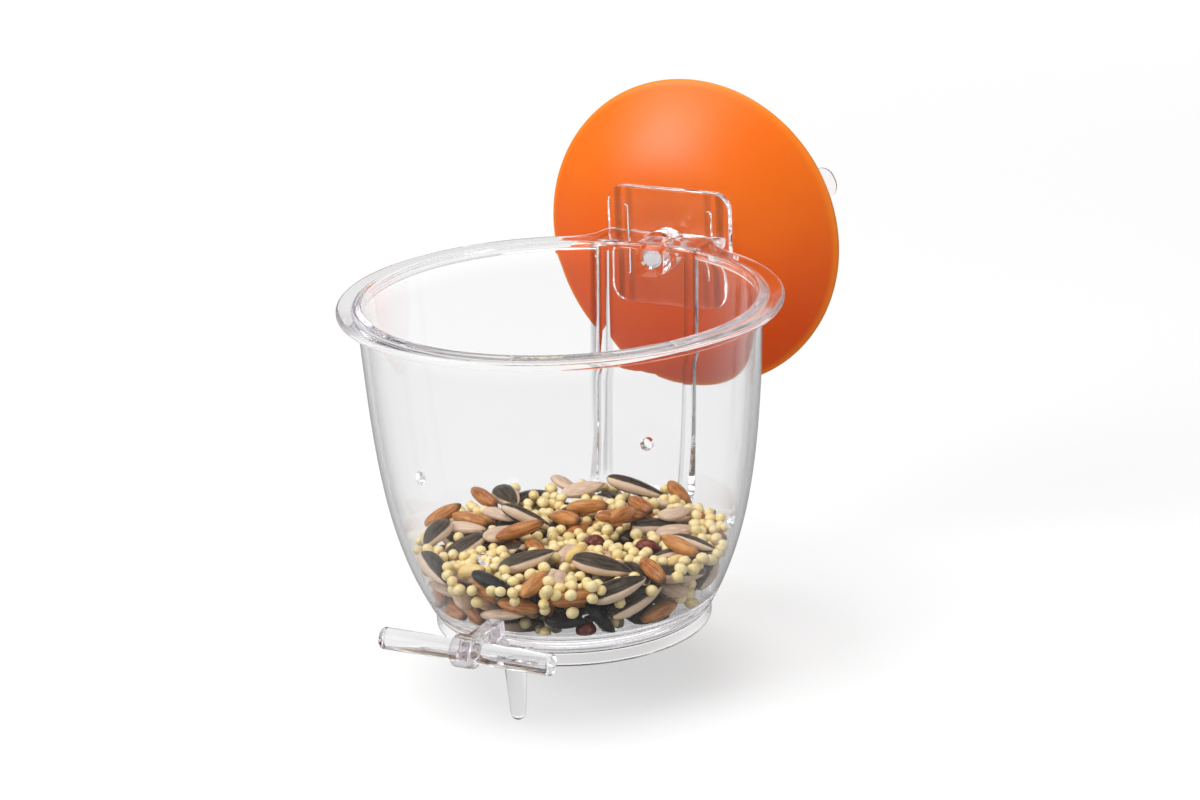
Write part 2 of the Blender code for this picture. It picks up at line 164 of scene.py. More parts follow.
@dataclass
class Solid:
    """A closed shape in the making, with the shapes added to it and taken from it in order."""

    shape: bmesh.types.BMesh
    steps: list[tuple[Step, "Solid"]] = field(default_factory=list)

    @classmethod
    def turned(cls, profile: Sequence[Point], segments: int, closed: bool = False) -> "Solid":
        """Spin a profile about the Z axis.

        Args:
            profile: Points of (radius, height).
            segments: Segments of the full turn.
            closed: Whether the profile is a ring that stays clear of the axis.

        Returns:
            The turned solid.
        """
        shape = bmesh.new()
        verts = [shape.verts.new((radius, 0.0, height)) for radius, height in profile]
        edges = [shape.edges.new(pair) for pair in zip(verts, verts[1:])]
        if closed:
            edges.append(shape.edges.new((verts[-1], verts[0])))
        bmesh.ops.spin(
            shape, geom=verts + edges, cent=(0, 0, 0), axis=(0, 0, 1), angle=math.tau,
            steps=segments, use_merge=True)
        bmesh.ops.remove_doubles(shape, verts=shape.verts[:], dist=WELD)
        bmesh.ops.recalc_face_normals(shape, faces=shape.faces[:])
        return cls(shape)

    @classmethod
    def stood(cls, shape: bmesh.types.BMesh, view: View, soft: float, segments: int = 3) -> "Solid":
        """Ease the edges of a lying shape's two end faces and stand it up.

        Args:
            shape: The shape, with its end faces level.
            view: Plane of its outline.
            soft: Radius that eases the edges.
            segments: Segments of the eased edges.

        Returns:
            The solid.
        """
        if soft > 0.0:
            rims = [e for e in shape.edges if abs(e.verts[0].co.z - e.verts[1].co.z) < LEVEL]
            bmesh.ops.bevel(
                shape, geom=rims, offset=soft, offset_type="OFFSET", segments=segments,
                profile=0.5, affect="EDGES", material=-1, clamp_overlap=True)
        bmesh.ops.transform(shape, matrix=view.stand(), verts=shape.verts[:])
        bmesh.ops.recalc_face_normals(shape, faces=shape.faces[:])
        return cls(shape)

    @classmethod
    def slab(cls, outline: Sequence[Point], low: float, high: float, view: View,
             soft: float = 0.0, segments: int = 3) -> "Solid":
        """Extrude an outline and ease the edges of its two faces.

        Args:
            outline: Points of the outline.
            low: Level of the first face along the depth axis.
            high: Level of the second face.
            view: Plane of the outline.
            soft: Radius that eases the edges of both faces.
            segments: Segments of the eased edges.

        Returns:
            The extruded solid.
        """
        shape = bmesh.new()
        face = shape.faces.new([shape.verts.new((a, b, low)) for a, b in outline])
        raised = bmesh.ops.extrude_face_region(shape, geom=[face], use_keep_orig=True)
        top = [item for item in raised["geom"] if isinstance(item, bmesh.types.BMVert)]
        bmesh.ops.translate(shape, verts=top, vec=(0.0, 0.0, high - low))
        bmesh.ops.recalc_face_normals(shape, faces=shape.faces[:])
        return cls.stood(shape, view, soft, segments)

    @classmethod
    def bar(cls, radius: float, low: float, high: float, view: View, centre: Point = (0.0, 0.0),
            segments: int = 48, soft: float = 0.0) -> "Solid":
        """Make a round bar along the depth axis of a view.

        Args:
            radius: Radius of the bar.
            low: Level of its first end.
            high: Level of its second end.
            view: Plane that the bar stands on.
            centre: Middle of the bar in that plane.
            segments: Segments round the bar.
            soft: Radius that eases its ends.

        Returns:
            The bar.
        """
        shape = bmesh.new()
        bmesh.ops.create_cone(
            shape, cap_ends=True, segments=segments, radius1=radius, radius2=radius,
            depth=high - low, matrix=Matrix.Translation((*centre, (low + high) / 2)))
        return cls.stood(shape, view, soft)

    def moved(self, matrix: Matrix) -> "Solid":
        """Move the solid by a matrix and return it."""
        bmesh.ops.transform(self.shape, matrix=matrix, verts=self.shape.verts[:])
        return self

    def add(self, other: "Solid") -> "Solid":
        """Fuse another solid with this one."""
        self.steps.append((Step.ADD, other))
        return self

    def take(self, other: "Solid") -> "Solid":
        """Cut another solid out of this one."""
        self.steps.append((Step.TAKE, other))
        return self

    def mesh(self, name: str) -> bpy.types.Mesh:
        """Carry out the steps.

        Args:
            name: Name of the mesh.

        Returns:
            The finished mesh.
        """
        start = bpy.data.meshes.new(name)
        self.shape.to_mesh(start)
        self.shape.free()
        if not self.steps:
            return start
        body = bpy.data.objects.new(name, start)
        bpy.context.scene.collection.objects.link(body)
        used = [body]
        for step, other in self.steps:
            tool = bpy.data.objects.new("tool", other.mesh("tool"))
            bpy.context.scene.collection.objects.link(tool)
            used.append(tool)
            change = body.modifiers.new(step.name, "BOOLEAN")
            change.operation = step.value
            change.solver = "EXACT"
            change.object = tool
        graph = bpy.context.evaluated_depsgraph_get()
        done = bpy.data.meshes.new_from_object(body.evaluated_get(graph))
        for item in used:
            data = item.data
            bpy.data.objects.remove(item)
            bpy.data.meshes.remove(data)
        return done


def show(mesh: bpy.types.Mesh, name: str, body: str, node: str,
         look: bpy.types.Material, sharp: float = 35.0) -> bpy.types.Object:
    """Put a finished mesh in the scene.

    Args:
        mesh: The mesh, already in its place.
        name: Name of the piece.
        body: Body that it moves with.
        node: CAD node that it stands for.
        look: Its material.
        sharp: Angle in degrees past which an edge is shaded sharp.

    Returns:
        The piece.
    """
    mesh.name = name
    mesh.materials.clear()
    mesh.materials.append(look)
    mesh.shade_smooth()
    mesh.set_sharp_from_angle(angle=math.radians(sharp))
    piece = bpy.data.objects.new(name, mesh)
    bpy.context.scene.collection.objects.link(piece)
    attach(piece, body)
    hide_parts(node)
    LOG.info("%s: %d faces, rides on %s", name, len(mesh.polygons), body)
    return piece


# Finishes


class Board:
    """Adds nodes to one shader tree and links them."""

    def __init__(self, tree: bpy.types.NodeTree) -> None:
        """Start on a tree."""
        self.tree = tree

    def put(self, kind: str, inputs: dict[Any, Any] | None = None, **settings: Any) -> bpy.types.Node:
        """Add a node.

        Args:
            kind: Node type.
            inputs: Value or source socket for each input, by name or number.
            settings: Properties of the node.

        Returns:
            The node.
        """
        made = self.tree.nodes.new(kind)
        for name, value in settings.items():
            setattr(made, name, value)
        for name, value in (inputs or {}).items():
            if isinstance(value, Socket):
                self.tree.links.new(value, made.inputs[name])
            else:
                made.inputs[name].default_value = value
        return made

    def sum(self, operation: str, *values: Any) -> Socket:
        """Work out a sum and return its socket."""
        return self.put("ShaderNodeMath", dict(enumerate(values)), operation=operation).outputs[0]

    def mix(self, factor: Any, first: Any, second: Any) -> Socket:
        """Mix two values and return the socket of the result."""
        return self.put("ShaderNodeMix", {0: factor, 2: first, 3: second}).outputs[0]

    def mirrored(self, path: Sockets) -> Socket:
        """Tell whether the ray of a light path was mirrored."""
        return self.sum("MULTIPLY", path["Is Glossy Ray"], path["Is Reflection Ray"])

    def ramp(self, value: Any, low: float, high: float, start: float = 0.0,
             end: float = 1.0) -> Socket:
        """Map a value smoothly from one span to another.

        Args:
            value: Source socket.
            low: Value that gives start.
            high: Value that gives end.
            start: First result.
            end: Last result.

        Returns:
            The socket of the result.
        """
        values = {0: value, 1: low, 2: high, 3: start, 4: end}
        return self.put(
            "ShaderNodeMapRange", values, interpolation_type="SMOOTHSTEP").outputs[0]

    def blend(self, factor: Any, first: Any, second: Any) -> Socket:
        """Mix two colours.

        Args:
            factor: Share of the second colour.
            first: First colour or its socket.
            second: Second colour or its socket.

        Returns:
            The socket of the result.
        """
        ends = {0: factor}
        for place, colour in ((6, first), (7, second)):
            ends[place] = colour if isinstance(colour, Socket) else (*colour, 1.0)
        return self.put("ShaderNodeMix", ends, data_type="RGBA").outputs[2]

    def noise(self, vector: Any, scale: Any, detail: float = 2.0,
              rough: float = 0.5) -> Socket:
        """Add a noise pattern and return its value."""
        inputs = {"Vector": vector, "Scale": scale, "Detail": detail, "Roughness": rough}
        return self.put("ShaderNodeTexNoise", inputs).outputs[0]

    def place(self) -> Socket:
        """Return the piece's own coordinates."""
        return self.put("ShaderNodeTexCoord").outputs["Object"]

    def written(self, name: str) -> Sockets:
        """Read what is written on the mesh under a name."""
        return self.put("ShaderNodeAttribute", attribute_name=name).outputs

    def split(self, vector: Socket) -> Sockets:
        """Split a vector and return the sockets of its three parts."""
        return self.put("ShaderNodeSeparateXYZ", {0: vector}).outputs

    def bump(self, strength: float, depth: float, height: Socket) -> Socket:
        """Add relief and return its normal."""
        inputs = {"Strength": strength, "Distance": depth, "Height": height}
        return self.put("ShaderNodeBump", inputs).outputs[0]

    def effect(self, effect: bpy.types.NodeTree, inputs: dict[str, Any]) -> Sockets:
        """Place a shared effect and return the sockets of its results."""
        return self.put("ShaderNodeGroup", inputs, node_tree=effect).outputs


def new_effect(name: str, vectors: Sequence[str], values: Sequence[str],
               gives: Sequence[str]) -> tuple[Board, Sockets]:
    """Start a shared shader effect.

    Args:
        name: Name of the effect.
        vectors: Names of the vectors that it takes.
        values: Names of the values that it takes.
        gives: Names of the values that it gives.

    Returns:
        The board and the sockets of what it takes.
    """
    tree = bpy.data.node_groups.new(name, "ShaderNodeTree")
    for titles, way, kind in (
            (vectors, "INPUT", "NodeSocketVector"), (values, "INPUT", "NodeSocketFloat"),
            (gives, "OUTPUT", "NodeSocketFloat")):
        for title in titles:
            tree.interface.new_socket(title, in_out=way, socket_type=kind)
    board = Board(tree)
    return board, board.put("NodeGroupInput").outputs


def new_material(name: str) -> tuple[bpy.types.Material, Board]:
    """Start a material.

    Args:
        name: Name of the material.

    Returns:
        The material and its board.
    """
    made = bpy.data.materials.new(name)
    made.use_nodes = True
    made.node_tree.nodes.clear()
    return made, Board(made.node_tree)


@dataclass
class Effects:
    """The effects that more than one finish uses, each built once."""

    flow_stretch: Triple = (1.0, 1.0, 0.16)
    flow_detail: float = 1.5
    scuff_scale: float = 420.0
    scuffs: Span = (0.52, 0.80, 0.0, 0.06)
    clouds: Point = (0.3, 0.7)
    cloud_height: float = 0.6
    dust_scale: float = 310.0
    dust: Point = (0.62, 0.82)
    tone_shift: float = 61.0
    streak_scale: float = 1.6
    streak_depth: float = 1.5
    streaks: Point = (0.36, 0.64)
    streak_height: float = 0.6
    blotch_scale: float = 520.0
    blotches: Point = (0.3, 0.7)

    def __post_init__(self) -> None:
        """Build the effects."""
        self.flow = self.build_flow()
        self.mottle = self.build_mottle()
        self.husk = self.build_husk()

    def build_flow(self) -> bpy.types.NodeTree:
        """Build the flow marks and light scuffs of moulded clear plastic.

        Returns:
            The effect.
        """
        board, taken = new_effect(
            "moulding_flow", ("Vector",), ("Scale", "Gloss"), ("Height", "Roughness"))
        long = board.put(
            "ShaderNodeMapping", {"Vector": taken["Vector"], "Scale": self.flow_stretch})
        waves = board.noise(long.outputs[0], taken["Scale"], self.flow_detail)
        scuffs = board.noise(taken["Vector"], self.scuff_scale, 4.0, 0.62)
        rough = board.sum("ADD", taken["Gloss"], board.ramp(scuffs, *self.scuffs))
        board.put("NodeGroupOutput", {"Height": waves, "Roughness": rough})
        return board.tree

    def build_mottle(self) -> bpy.types.NodeTree:
        """Build the cloudy colour and fine skin of moulded rubber.

        Returns:
            The effect.
        """
        board, taken = new_effect(
            "rubber_mottle", ("Vector",), ("Cloud", "Skin"), ("Clouds", "Dust", "Height"))
        clouds = board.noise(taken["Vector"], taken["Cloud"], 3.0)
        skin = board.noise(taken["Vector"], taken["Skin"], 3.0, 0.6)
        dust = board.noise(taken["Vector"], self.dust_scale, 4.0, 0.7)
        board.put("NodeGroupOutput", {
            "Clouds": board.ramp(clouds, *self.clouds), "Dust": board.ramp(dust, *self.dust),
            "Height": board.sum("MULTIPLY_ADD", clouds, self.cloud_height, skin)})
        return board.tree

    def build_husk(self) -> bpy.types.NodeTree:
        """Build the lengthwise streaks and blotches of a seed's husk.

        Returns:
            The effect.
        """
        board, taken = new_effect(
            "seed_husk", ("Vector", "Grain"), ("Tone", "Streaks"), ("Streak", "Blotch", "Height"))
        grain = board.split(taken["Grain"])
        along = board.sum("MULTIPLY_ADD", taken["Tone"], self.tone_shift, grain[0])
        across = board.sum("MULTIPLY", grain[1], taken["Streaks"])
        depth = board.sum("MULTIPLY", grain[2], self.streak_depth)
        drawn = board.put("ShaderNodeCombineXYZ", {0: along, 1: across, 2: depth}).outputs[0]
        streak = board.ramp(board.noise(drawn, self.streak_scale, 3.0, 0.55), *self.streaks)
        blotch = board.ramp(board.noise(taken["Vector"], self.blotch_scale, 3.0), *self.blotches)
        board.put("NodeGroupOutput", {
            "Streak": streak, "Blotch": blotch,
            "Height": board.sum("MULTIPLY_ADD", streak, self.streak_height, blotch)})
        return board.tree


@dataclass(frozen=True)
class ClearPlastic:
    """Clear moulded plastic that lets the lamps through."""

    name: str
    tint: Colour = (0.922, 0.922, 0.924)
    # Painted shade: from edge_start on, towards glancing angles, the tint darkens to this colour so that
    # the edges read grey
    edge: Colour = (0.45, 0.45, 0.46)
    edge_start: float = 0.60
    gloss: float = 0.02
    # brow: the tint above brow_z. At these defaults, which the cup uses, it is painted light: the rim is
    # tinted near white and loses the painted edge shade
    brow: Colour = (0.99, 0.99, 0.99)
    brow_gloss: float = 0.02
    brow_z: Point = (-0.0030, 0.0020)
    # Painted shade lines along the back panel's upright edges: their places and weights, the depth and
    # heights they cover, their fade and colour
    painted_shade_lines: tuple[Point, ...] = ()
    shade_line_y: Point = (-0.0320, -0.0300)
    shade_line_z: Point = (-0.0535, -0.0495)
    shade_line_fade: Point = (0.0002, 0.0008)
    shade_line_tone: Colour = (0.30, 0.30, 0.31)
    mirror: Colour = (0.25, 0.25, 0.25)
    ior: float = 1.49
    depth_tint: Colour = (0.92, 0.915, 0.93)
    depth: float = 25.0
    waves: float = 70.0
    relief: float = 0.025
    relief_depth: float = 0.0006
    shade: Colour = (0.98, 0.98, 0.98)
    dim: Colour = (0.87, 0.87, 0.87)

    def with_painted_shade_lines(self, board: Board, axes: Sockets, colour: Socket) -> Socket:
        """Paint shade lines along the upright edges of the back panel.

        Args:
            board: Board of the material.
            axes: The piece's own coordinates.
            colour: The colour without the lines.

        Returns:
            The colour with them.
        """
        aside = board.sum("ABSOLUTE", axes[0])
        behind = board.sum(
            "MULTIPLY", board.ramp(axes[1], *self.shade_line_y), board.ramp(axes[2], *self.shade_line_z))
        for spot, weight in self.painted_shade_lines:
            off = board.sum("ABSOLUTE", board.sum("SUBTRACT", aside, spot))
            line = board.sum("MULTIPLY", behind, board.ramp(off, *self.shade_line_fade, weight, 0.0))
            colour = board.blend(line, colour, self.shade_line_tone)
        return colour

    def material(self, effects: Effects) -> bpy.types.Material:
        """Make the material.

        Args:
            effects: The shared effects.

        Returns:
            The material.
        """
        made, board = new_material(self.name)
        place = board.place()
        axes = board.split(place)
        upper = board.ramp(axes[2], *self.brow_z)
        gloss = board.mix(upper, self.gloss, self.brow_gloss)
        flow = board.effect(effects.flow, {"Vector": place, "Scale": self.waves, "Gloss": gloss})
        # Painted shade at glancing angles: the edges of the clear part darken
        facing = board.put("ShaderNodeLayerWeight", {"Blend": 0.5}).outputs["Facing"]
        colour = board.blend(board.ramp(facing, self.edge_start, 1.0), self.tint, self.edge)
        # Above brow_z the brow tint takes over; on the cup's rim this is painted light
        colour = board.blend(upper, colour, self.brow)
        # Painted shade lines at the back panel's edges
        if self.painted_shade_lines:
            colour = self.with_painted_shade_lines(board, axes, colour)
        plastic = board.put("ShaderNodeBsdfPrincipled", {
            "Base Color": colour, "Roughness": flow["Roughness"], "IOR": self.ior,
            "Transmission Weight": 1.0, "Specular Tint": (*self.mirror, 1.0),
            "Normal": board.bump(self.relief, self.relief_depth, flow["Height"])})
        path = board.put("ShaderNodeLightPath").outputs
        passing = board.put("ShaderNodeBsdfTransparent", {
            "Color": board.blend(path["Is Diffuse Ray"], self.shade, self.dim)})
        through = board.sum("MAXIMUM", path["Is Shadow Ray"], path["Is Diffuse Ray"])
        mixed = board.put(
            "ShaderNodeMixShader", {0: through, 1: plastic.outputs[0], 2: passing.outputs[0]})
        inside = board.put(
            "ShaderNodeVolumeAbsorption", {"Color": (*self.depth_tint, 1.0), "Density": self.depth})
        board.put("ShaderNodeOutputMaterial", {
            "Surface": mixed.outputs[0], "Volume": inside.outputs[0]})
        return made


@dataclass(frozen=True)
class Silicone:
    """Satin silicone rubber, paler where the lip thins out, with painted shade towards its lower side."""

    name: str = "orange_silicone"
    base: Colour = (0.91, 0.165, 0.004)
    # Painted shade: a deeper orange that the disc turns towards its lower side, over the span of heights
    # after it
    painted_shade: Colour = (0.87, 0.088, 0.002)
    painted_shade_z: Point = (-0.030, 0.025)
    lip: Colour = (0.95, 0.24, 0.012)
    lip_r: Point = (0.0353, 0.0371)
    cloud: float = 60.0
    cloud_shift: float = 0.2
    skin: float = 900.0
    # Pale dust specks on the rubber, at the weight below
    dust: Colour = (0.95, 0.55, 0.30)
    dust_and_shade_weight: float = 0.10
    rough: float = 0.33
    rough_spread: float = 0.08
    relief: float = 0.12
    relief_depth: float = 0.0002
    ior: float = 1.43
    scatter: float = 0.12
    scatter_radius: Triple = (1.0, 0.35, 0.1)
    scatter_scale: float = 0.0015

    def material(self, effects: Effects) -> bpy.types.Material:
        """Make the material.

        Args:
            effects: The shared effects.

        Returns:
            The material.
        """
        made, board = new_material(self.name)
        place = board.place()
        mottle = board.effect(
            effects.mottle, {"Vector": place, "Cloud": self.cloud, "Skin": self.skin})
        axes = board.split(place)
        reach = board.sum("SQRT", board.sum(
            "ADD", board.sum("POWER", axes[0], 2.0), board.sum("POWER", axes[2], 2.0)))
        shift = board.sum("SUBTRACT", mottle["Clouds"], 0.5)
        # The clouds are the rubber's own mottle; the height ramp adds painted shade towards the disc's
        # lower side
        height = board.sum(
            "MULTIPLY_ADD", shift, self.cloud_shift, board.ramp(axes[2], *self.painted_shade_z))
        colour = board.blend(height, self.painted_shade, self.base)
        colour = board.blend(board.ramp(reach, *self.lip_r), colour, self.lip)
        dust_and_shade_share = board.sum("MULTIPLY", mottle["Dust"], self.dust_and_shade_weight)
        colour = board.blend(dust_and_shade_share, colour, self.dust)
        rough = board.sum("MULTIPLY_ADD", mottle["Clouds"], self.rough_spread, self.rough)
        rubber = board.put("ShaderNodeBsdfPrincipled", {
            "Base Color": colour, "Roughness": rough, "IOR": self.ior,
            "Subsurface Weight": self.scatter, "Subsurface Radius": self.scatter_radius,
            "Subsurface Scale": self.scatter_scale,
            "Normal": board.bump(self.relief, self.relief_depth, mottle["Height"])})
        board.put("ShaderNodeOutputMaterial", {"Surface": rubber.outputs[0]})
        return made


@dataclass(frozen=True)
class Husk:
    """Husk of one kind of seed."""

    name: str
    light: Colour
    dark: Colour
    tip: Colour
    edge: Colour | None = None
    edge_start: float = 0.62
    edge_end: float = 0.80
    edge_wave: float = 0.06
    edge_worn: float = 0.7
    edge_wear: float = 0.25
    tip_start: float = 0.70
    streak_weight: float = 0.55
    blotch_weight: float = 0.20
    spread: float = 0.5
    streaks: float = 7.0
    rough: float = 0.42
    rough_spread: float = 0.14
    ior: float = 1.45
    sheen: float = 0.2
    relief: float = 0.25
    relief_depth: float = 0.0002
    # Painted shade between the seeds: the colour and weight that a seed darkens towards with its depth in
    # the heap
    dust: Colour = (0.022, 0.015, 0.009)
    dust_and_shade_weight: float = 0.85

    def material(self, effects: Effects) -> bpy.types.Material:
        """Make the material.

        Args:
            effects: The shared effects.

        Returns:
            The material.
        """
        made, board = new_material(self.name)
        grain = board.written("grain")["Vector"]
        tone = board.written("tone")["Fac"]
        husk = board.effect(effects.husk, {
            "Vector": board.place(), "Grain": grain, "Tone": tone, "Streaks": self.streaks})
        axes = board.split(grain)
        mark = board.sum("MULTIPLY", husk["Streak"], self.streak_weight)
        mark = board.sum("MULTIPLY_ADD", husk["Blotch"], self.blotch_weight, mark)
        mark = board.sum("MULTIPLY_ADD", tone, self.spread, mark)
        colour = board.blend(mark, self.light, self.dark)
        if self.edge is not None:
            side = board.sum("ABSOLUTE", axes[1])
            side = board.sum("MULTIPLY_ADD", husk["Streak"], self.edge_wave, side)
            worn = board.sum("MULTIPLY", husk["Blotch"], self.edge_wear)
            rim = board.blend(worn, self.edge, tuple(self.edge_worn * part for part in self.edge))
            colour = board.blend(board.ramp(side, self.edge_start, self.edge_end), colour, rim)
        colour = board.blend(board.ramp(axes[0], self.tip_start, 1.0), colour, self.tip)
        # Painted shade: darker the deeper a point lies between the seeds
        dust_and_shade_share = board.sum("MULTIPLY", board.written("painted_shade")["Fac"], self.dust_and_shade_weight)
        colour = board.blend(dust_and_shade_share, colour, self.dust)
        rough = board.sum("MULTIPLY_ADD", husk["Blotch"], self.rough_spread, self.rough)
        shell = board.put("ShaderNodeBsdfPrincipled", {
            "Base Color": colour, "Roughness": rough, "IOR": self.ior,
            "Specular IOR Level": self.sheen,
            "Normal": board.bump(self.relief, self.relief_depth, husk["Height"])})
        board.put("ShaderNodeOutputMaterial", {"Surface": shell.outputs[0]})
        return made


# The cup and what hangs on it


@dataclass
class Cup:
    """The clear cup: bowl, rim, flat back panel, rear tab, bearing plate and socket boss."""

    back: float = -0.0697
    rim_z: float = 0.0040
    rim_r: float = 0.0489
    rim_t: float = 0.0018
    rim_soft: float = 0.0007
    rim_root: float = 0.0014
    ridge_h: float = 0.00025
    ridge_w: float = 0.0017
    ridge_foot: float = 0.0022
    mouth_r: float = 0.0430
    mouth_over: float = 0.0030
    lip: float = 0.0007
    height: float = 0.0701
    top_r: float = 0.0446
    draft: float = 0.0044
    tuck: float = 0.0086
    wall_z: float = -0.0060
    wall_t: float = 0.0015
    heel: float = 0.0006
    heel_soft: float = 0.0002
    lining_z: float = -0.0030
    floor_t: float = 0.0020
    bend: float = 0.0030
    bend_in: float = 0.0006
    spigot_r: float = 0.0246
    spigot_t: float = 0.0018
    spigot_h: float = 0.0020
    drain_r: float = 0.0015
    drain_z: float = -0.0472
    drain_reach: Point = (0.0330, 0.0460)
    panel_half: float = 0.0130
    panel_half_in: float = 0.0100
    panel_root_y: float = 0.0300
    panel_top_y: float = 0.0452
    panel_top_z: float = -0.0010
    panel_low_y: float = 0.0406
    panel_low_z: float = -0.0575
    panel_low_r: float = 0.0040
    panel_end_y: float = 0.0340
    panel_end_z: float = -0.0640
    panel_end_r: float = 0.0010
    panel_base_y: float = 0.0280
    panel_soft: float = 0.0008
    panel_t: float = 0.0020
    lintel_h: float = 0.0020
    recess_low: float = 0.0006
    recess_low_r: float = 0.0030
    recess_end_y: float = 0.0325
    recess_end: float = 0.0026
    recess_end_r: float = 0.0008
    recess_base_y: float = 0.0270
    recess_soft: float = 0.0005
    tab_half: float = 0.0156
    tab_t: float = 0.0017
    tab_fillet: float = 0.0080
    tab_root: Point = (0.0150, 0.0430)
    tab_in: float = 0.0010
    tab_top: float = -0.00005
    tab_soft: float = 0.0004
    plate_w: float = 0.0312
    plate_h: float = 0.0278
    plate_t: float = 0.0025
    plate_r: float = 0.0042
    plate_z: float = 0.0003
    plate_gap: float = 0.0132
    soft: float = 0.0006
    rib_x: float = 0.0107
    rib_z: float = 0.0016
    rib_len: float = 0.0166
    rib_w: float = 0.0015
    rib_r: float = 0.0007
    rib_h: float = 0.0008
    boss_w: float = 0.0068
    boss_h: float = 0.0082
    boss_r: float = 0.0018
    boss_in: float = 0.0016
    boss_out: float = 0.0007
    boss_soft: float = 0.0002
    collar_r: float = 0.0050
    collar_l: float = 0.0042
    collar_z: float = 0.0002
    collar_out: float = 0.0009
    collar_soft: float = 0.0005
    socket_end: float = 0.0005
    socket_step: float = 0.0013
    flat_w: float = 0.008
    flat_h: float = 0.004
    flat_r: float = 0.0001
    fine: float = 0.0003
    gap: float = 0.0003
    rows: int = 40
    segments: int = 160

    def place(self) -> Matrix:
        """Matrix from the cup's own axis to its place in front of the window."""
        return Matrix.Translation((0.0, self.back, self.rim_z))

    def wall(self, z: float) -> float:
        """Outer radius of the wall at a height below the rim."""
        depth = -z / self.height
        return self.top_r - self.draft * depth - self.tuck * depth ** 4

    def lining(self, z: float) -> float:
        """Inner radius of the wall at a height below the rim."""
        return self.wall(z) - self.wall_t

    def floor_z(self) -> float:
        """Height of the bowl's inside floor."""
        return self.floor_t - self.height

    def plate_front(self) -> float:
        """Distance of the plate's room side from the cup's axis."""
        return -self.back - self.plate_gap - self.plate_t

    def outside(self) -> Solid:
        """Turn the outside of the bowl with its rim and the spigot under it.

        Returns:
            The solid.
        """
        profile = rounded([
            Corner(0.0, self.ridge_h),
            Corner(self.mouth_r + self.ridge_w, self.ridge_h, self.fine),
            Corner(self.mouth_r + self.ridge_foot, 0.0, self.fine),
            Corner(self.rim_r, 0.0, self.rim_soft),
            Corner(self.rim_r, -self.rim_t, self.rim_soft),
            Corner(self.wall(-self.rim_t), -self.rim_t, self.rim_root),
            Corner(self.wall(self.wall_z), self.wall_z),
        ], steps=6)
        base = -self.height
        for i in range(1, self.rows + 1):
            z = self.wall_z + (base + self.heel - self.wall_z) * i / self.rows
            profile.append((self.wall(z), z))
        end = base - self.spigot_h
        inner = self.spigot_r - self.spigot_t
        profile += [
            (self.wall(base) - self.heel_soft, base + self.heel_soft),
            (self.wall(base) - self.heel, base),
            (self.spigot_r, base), (self.spigot_r, end + self.fine), (self.spigot_r - self.fine, end),
            (inner, end), (inner, base), (0.0, base)]
        return Solid.turned(profile, self.segments)

    def hollow(self) -> Solid:
        """Turn the inside of the bowl, with a round lip at the mouth and a round bend at the floor.

        Returns:
            The cutter.
        """
        lip, bend = self.lip, self.bend
        profile: list[Point] = [(0.0, self.mouth_over), (self.mouth_r + lip, self.mouth_over)]
        for degrees in np.linspace(82.0, 180.0, 6):
            angle = math.radians(degrees)
            profile.append((
                self.mouth_r + lip + lip * math.cos(angle),
                self.ridge_h - lip + lip * math.sin(angle)))
        low = self.floor_z() + bend
        for i in range(self.rows + 1):
            z = self.lining_z + (low - self.lining_z) * i / self.rows
            profile.append((self.lining(z), z))
        inner = self.lining(low) - bend
        for degrees in np.linspace(0.0, 90.0, 9)[1:]:
            angle = math.radians(degrees)
            profile.append((
                inner + bend * math.cos(angle) - self.bend_in * math.sin(angle),
                low - bend * math.sin(angle)))
        profile.append((0.0, self.floor_z()))
        return Solid.turned(profile, self.segments)

    def panel(self) -> Solid:
        """Extrude the flat back panel with eased upright edges.

        Returns:
            The solid.
        """
        side = rounded([
            Corner(self.panel_root_y, self.panel_top_z),
            Corner(self.panel_top_y, self.panel_top_z),
            Corner(self.panel_low_y, self.panel_low_z, self.panel_low_r),
            Corner(self.panel_end_y, self.panel_end_z, self.panel_end_r),
            Corner(self.panel_base_y, self.panel_end_z),
        ])
        return Solid.slab(side, -self.panel_half, self.panel_half, View.SIDE, self.panel_soft)

    def panel_recess(self) -> Solid:
        """Extrude the recess behind the bowl that leaves the panel and its two cheeks.

        Returns:
            The cutter.
        """
        end = self.panel_end_z + self.recess_end
        side = rounded([
            Corner(self.panel_root_y, -self.lintel_h),
            Corner(self.panel_top_y - self.panel_t, -self.lintel_h),
            Corner(
                self.panel_low_y - self.panel_t, self.panel_low_z + self.recess_low, self.recess_low_r),
            Corner(self.recess_end_y, end, self.recess_end_r),
            Corner(self.recess_base_y, end),
        ])
        return Solid.slab(
            side, -self.panel_half_in, self.panel_half_in, View.SIDE, self.recess_soft)

    def tab(self) -> Solid:
        """Extrude the rear tab that flares out of the rim and runs back to the plate.

        Returns:
            The solid.
        """
        x = self.tab_half + self.tab_fillet
        y = math.sqrt((self.rim_r + self.tab_fillet) ** 2 - x ** 2)
        sweep = math.atan2(x, y)
        right: list[Point] = [self.tab_root]
        for part in np.linspace(0.0, 1.0, 13):
            angle = 1.5 * math.pi - sweep + (sweep - math.pi / 2) * part
            right.append((x + self.tab_fillet * math.cos(angle), y + self.tab_fillet * math.sin(angle)))
        right.append((self.tab_half - self.tab_in, self.plate_front() + self.soft))
        outline = right + [(-a, b) for a, b in reversed(right)]
        return Solid.slab(outline, -self.tab_t, self.tab_top, View.PLAN, self.tab_soft)

    def plate(self) -> Solid:
        """Extrude the bearing plate.

        Returns:
            The solid.
        """
        centre = (0.0, self.plate_z - self.rim_z)
        outline = round_rect(self.plate_w, self.plate_h, self.plate_r, centre)
        front = self.plate_front()
        return Solid.slab(outline, front, front + self.plate_t, View.FRONT, self.soft)

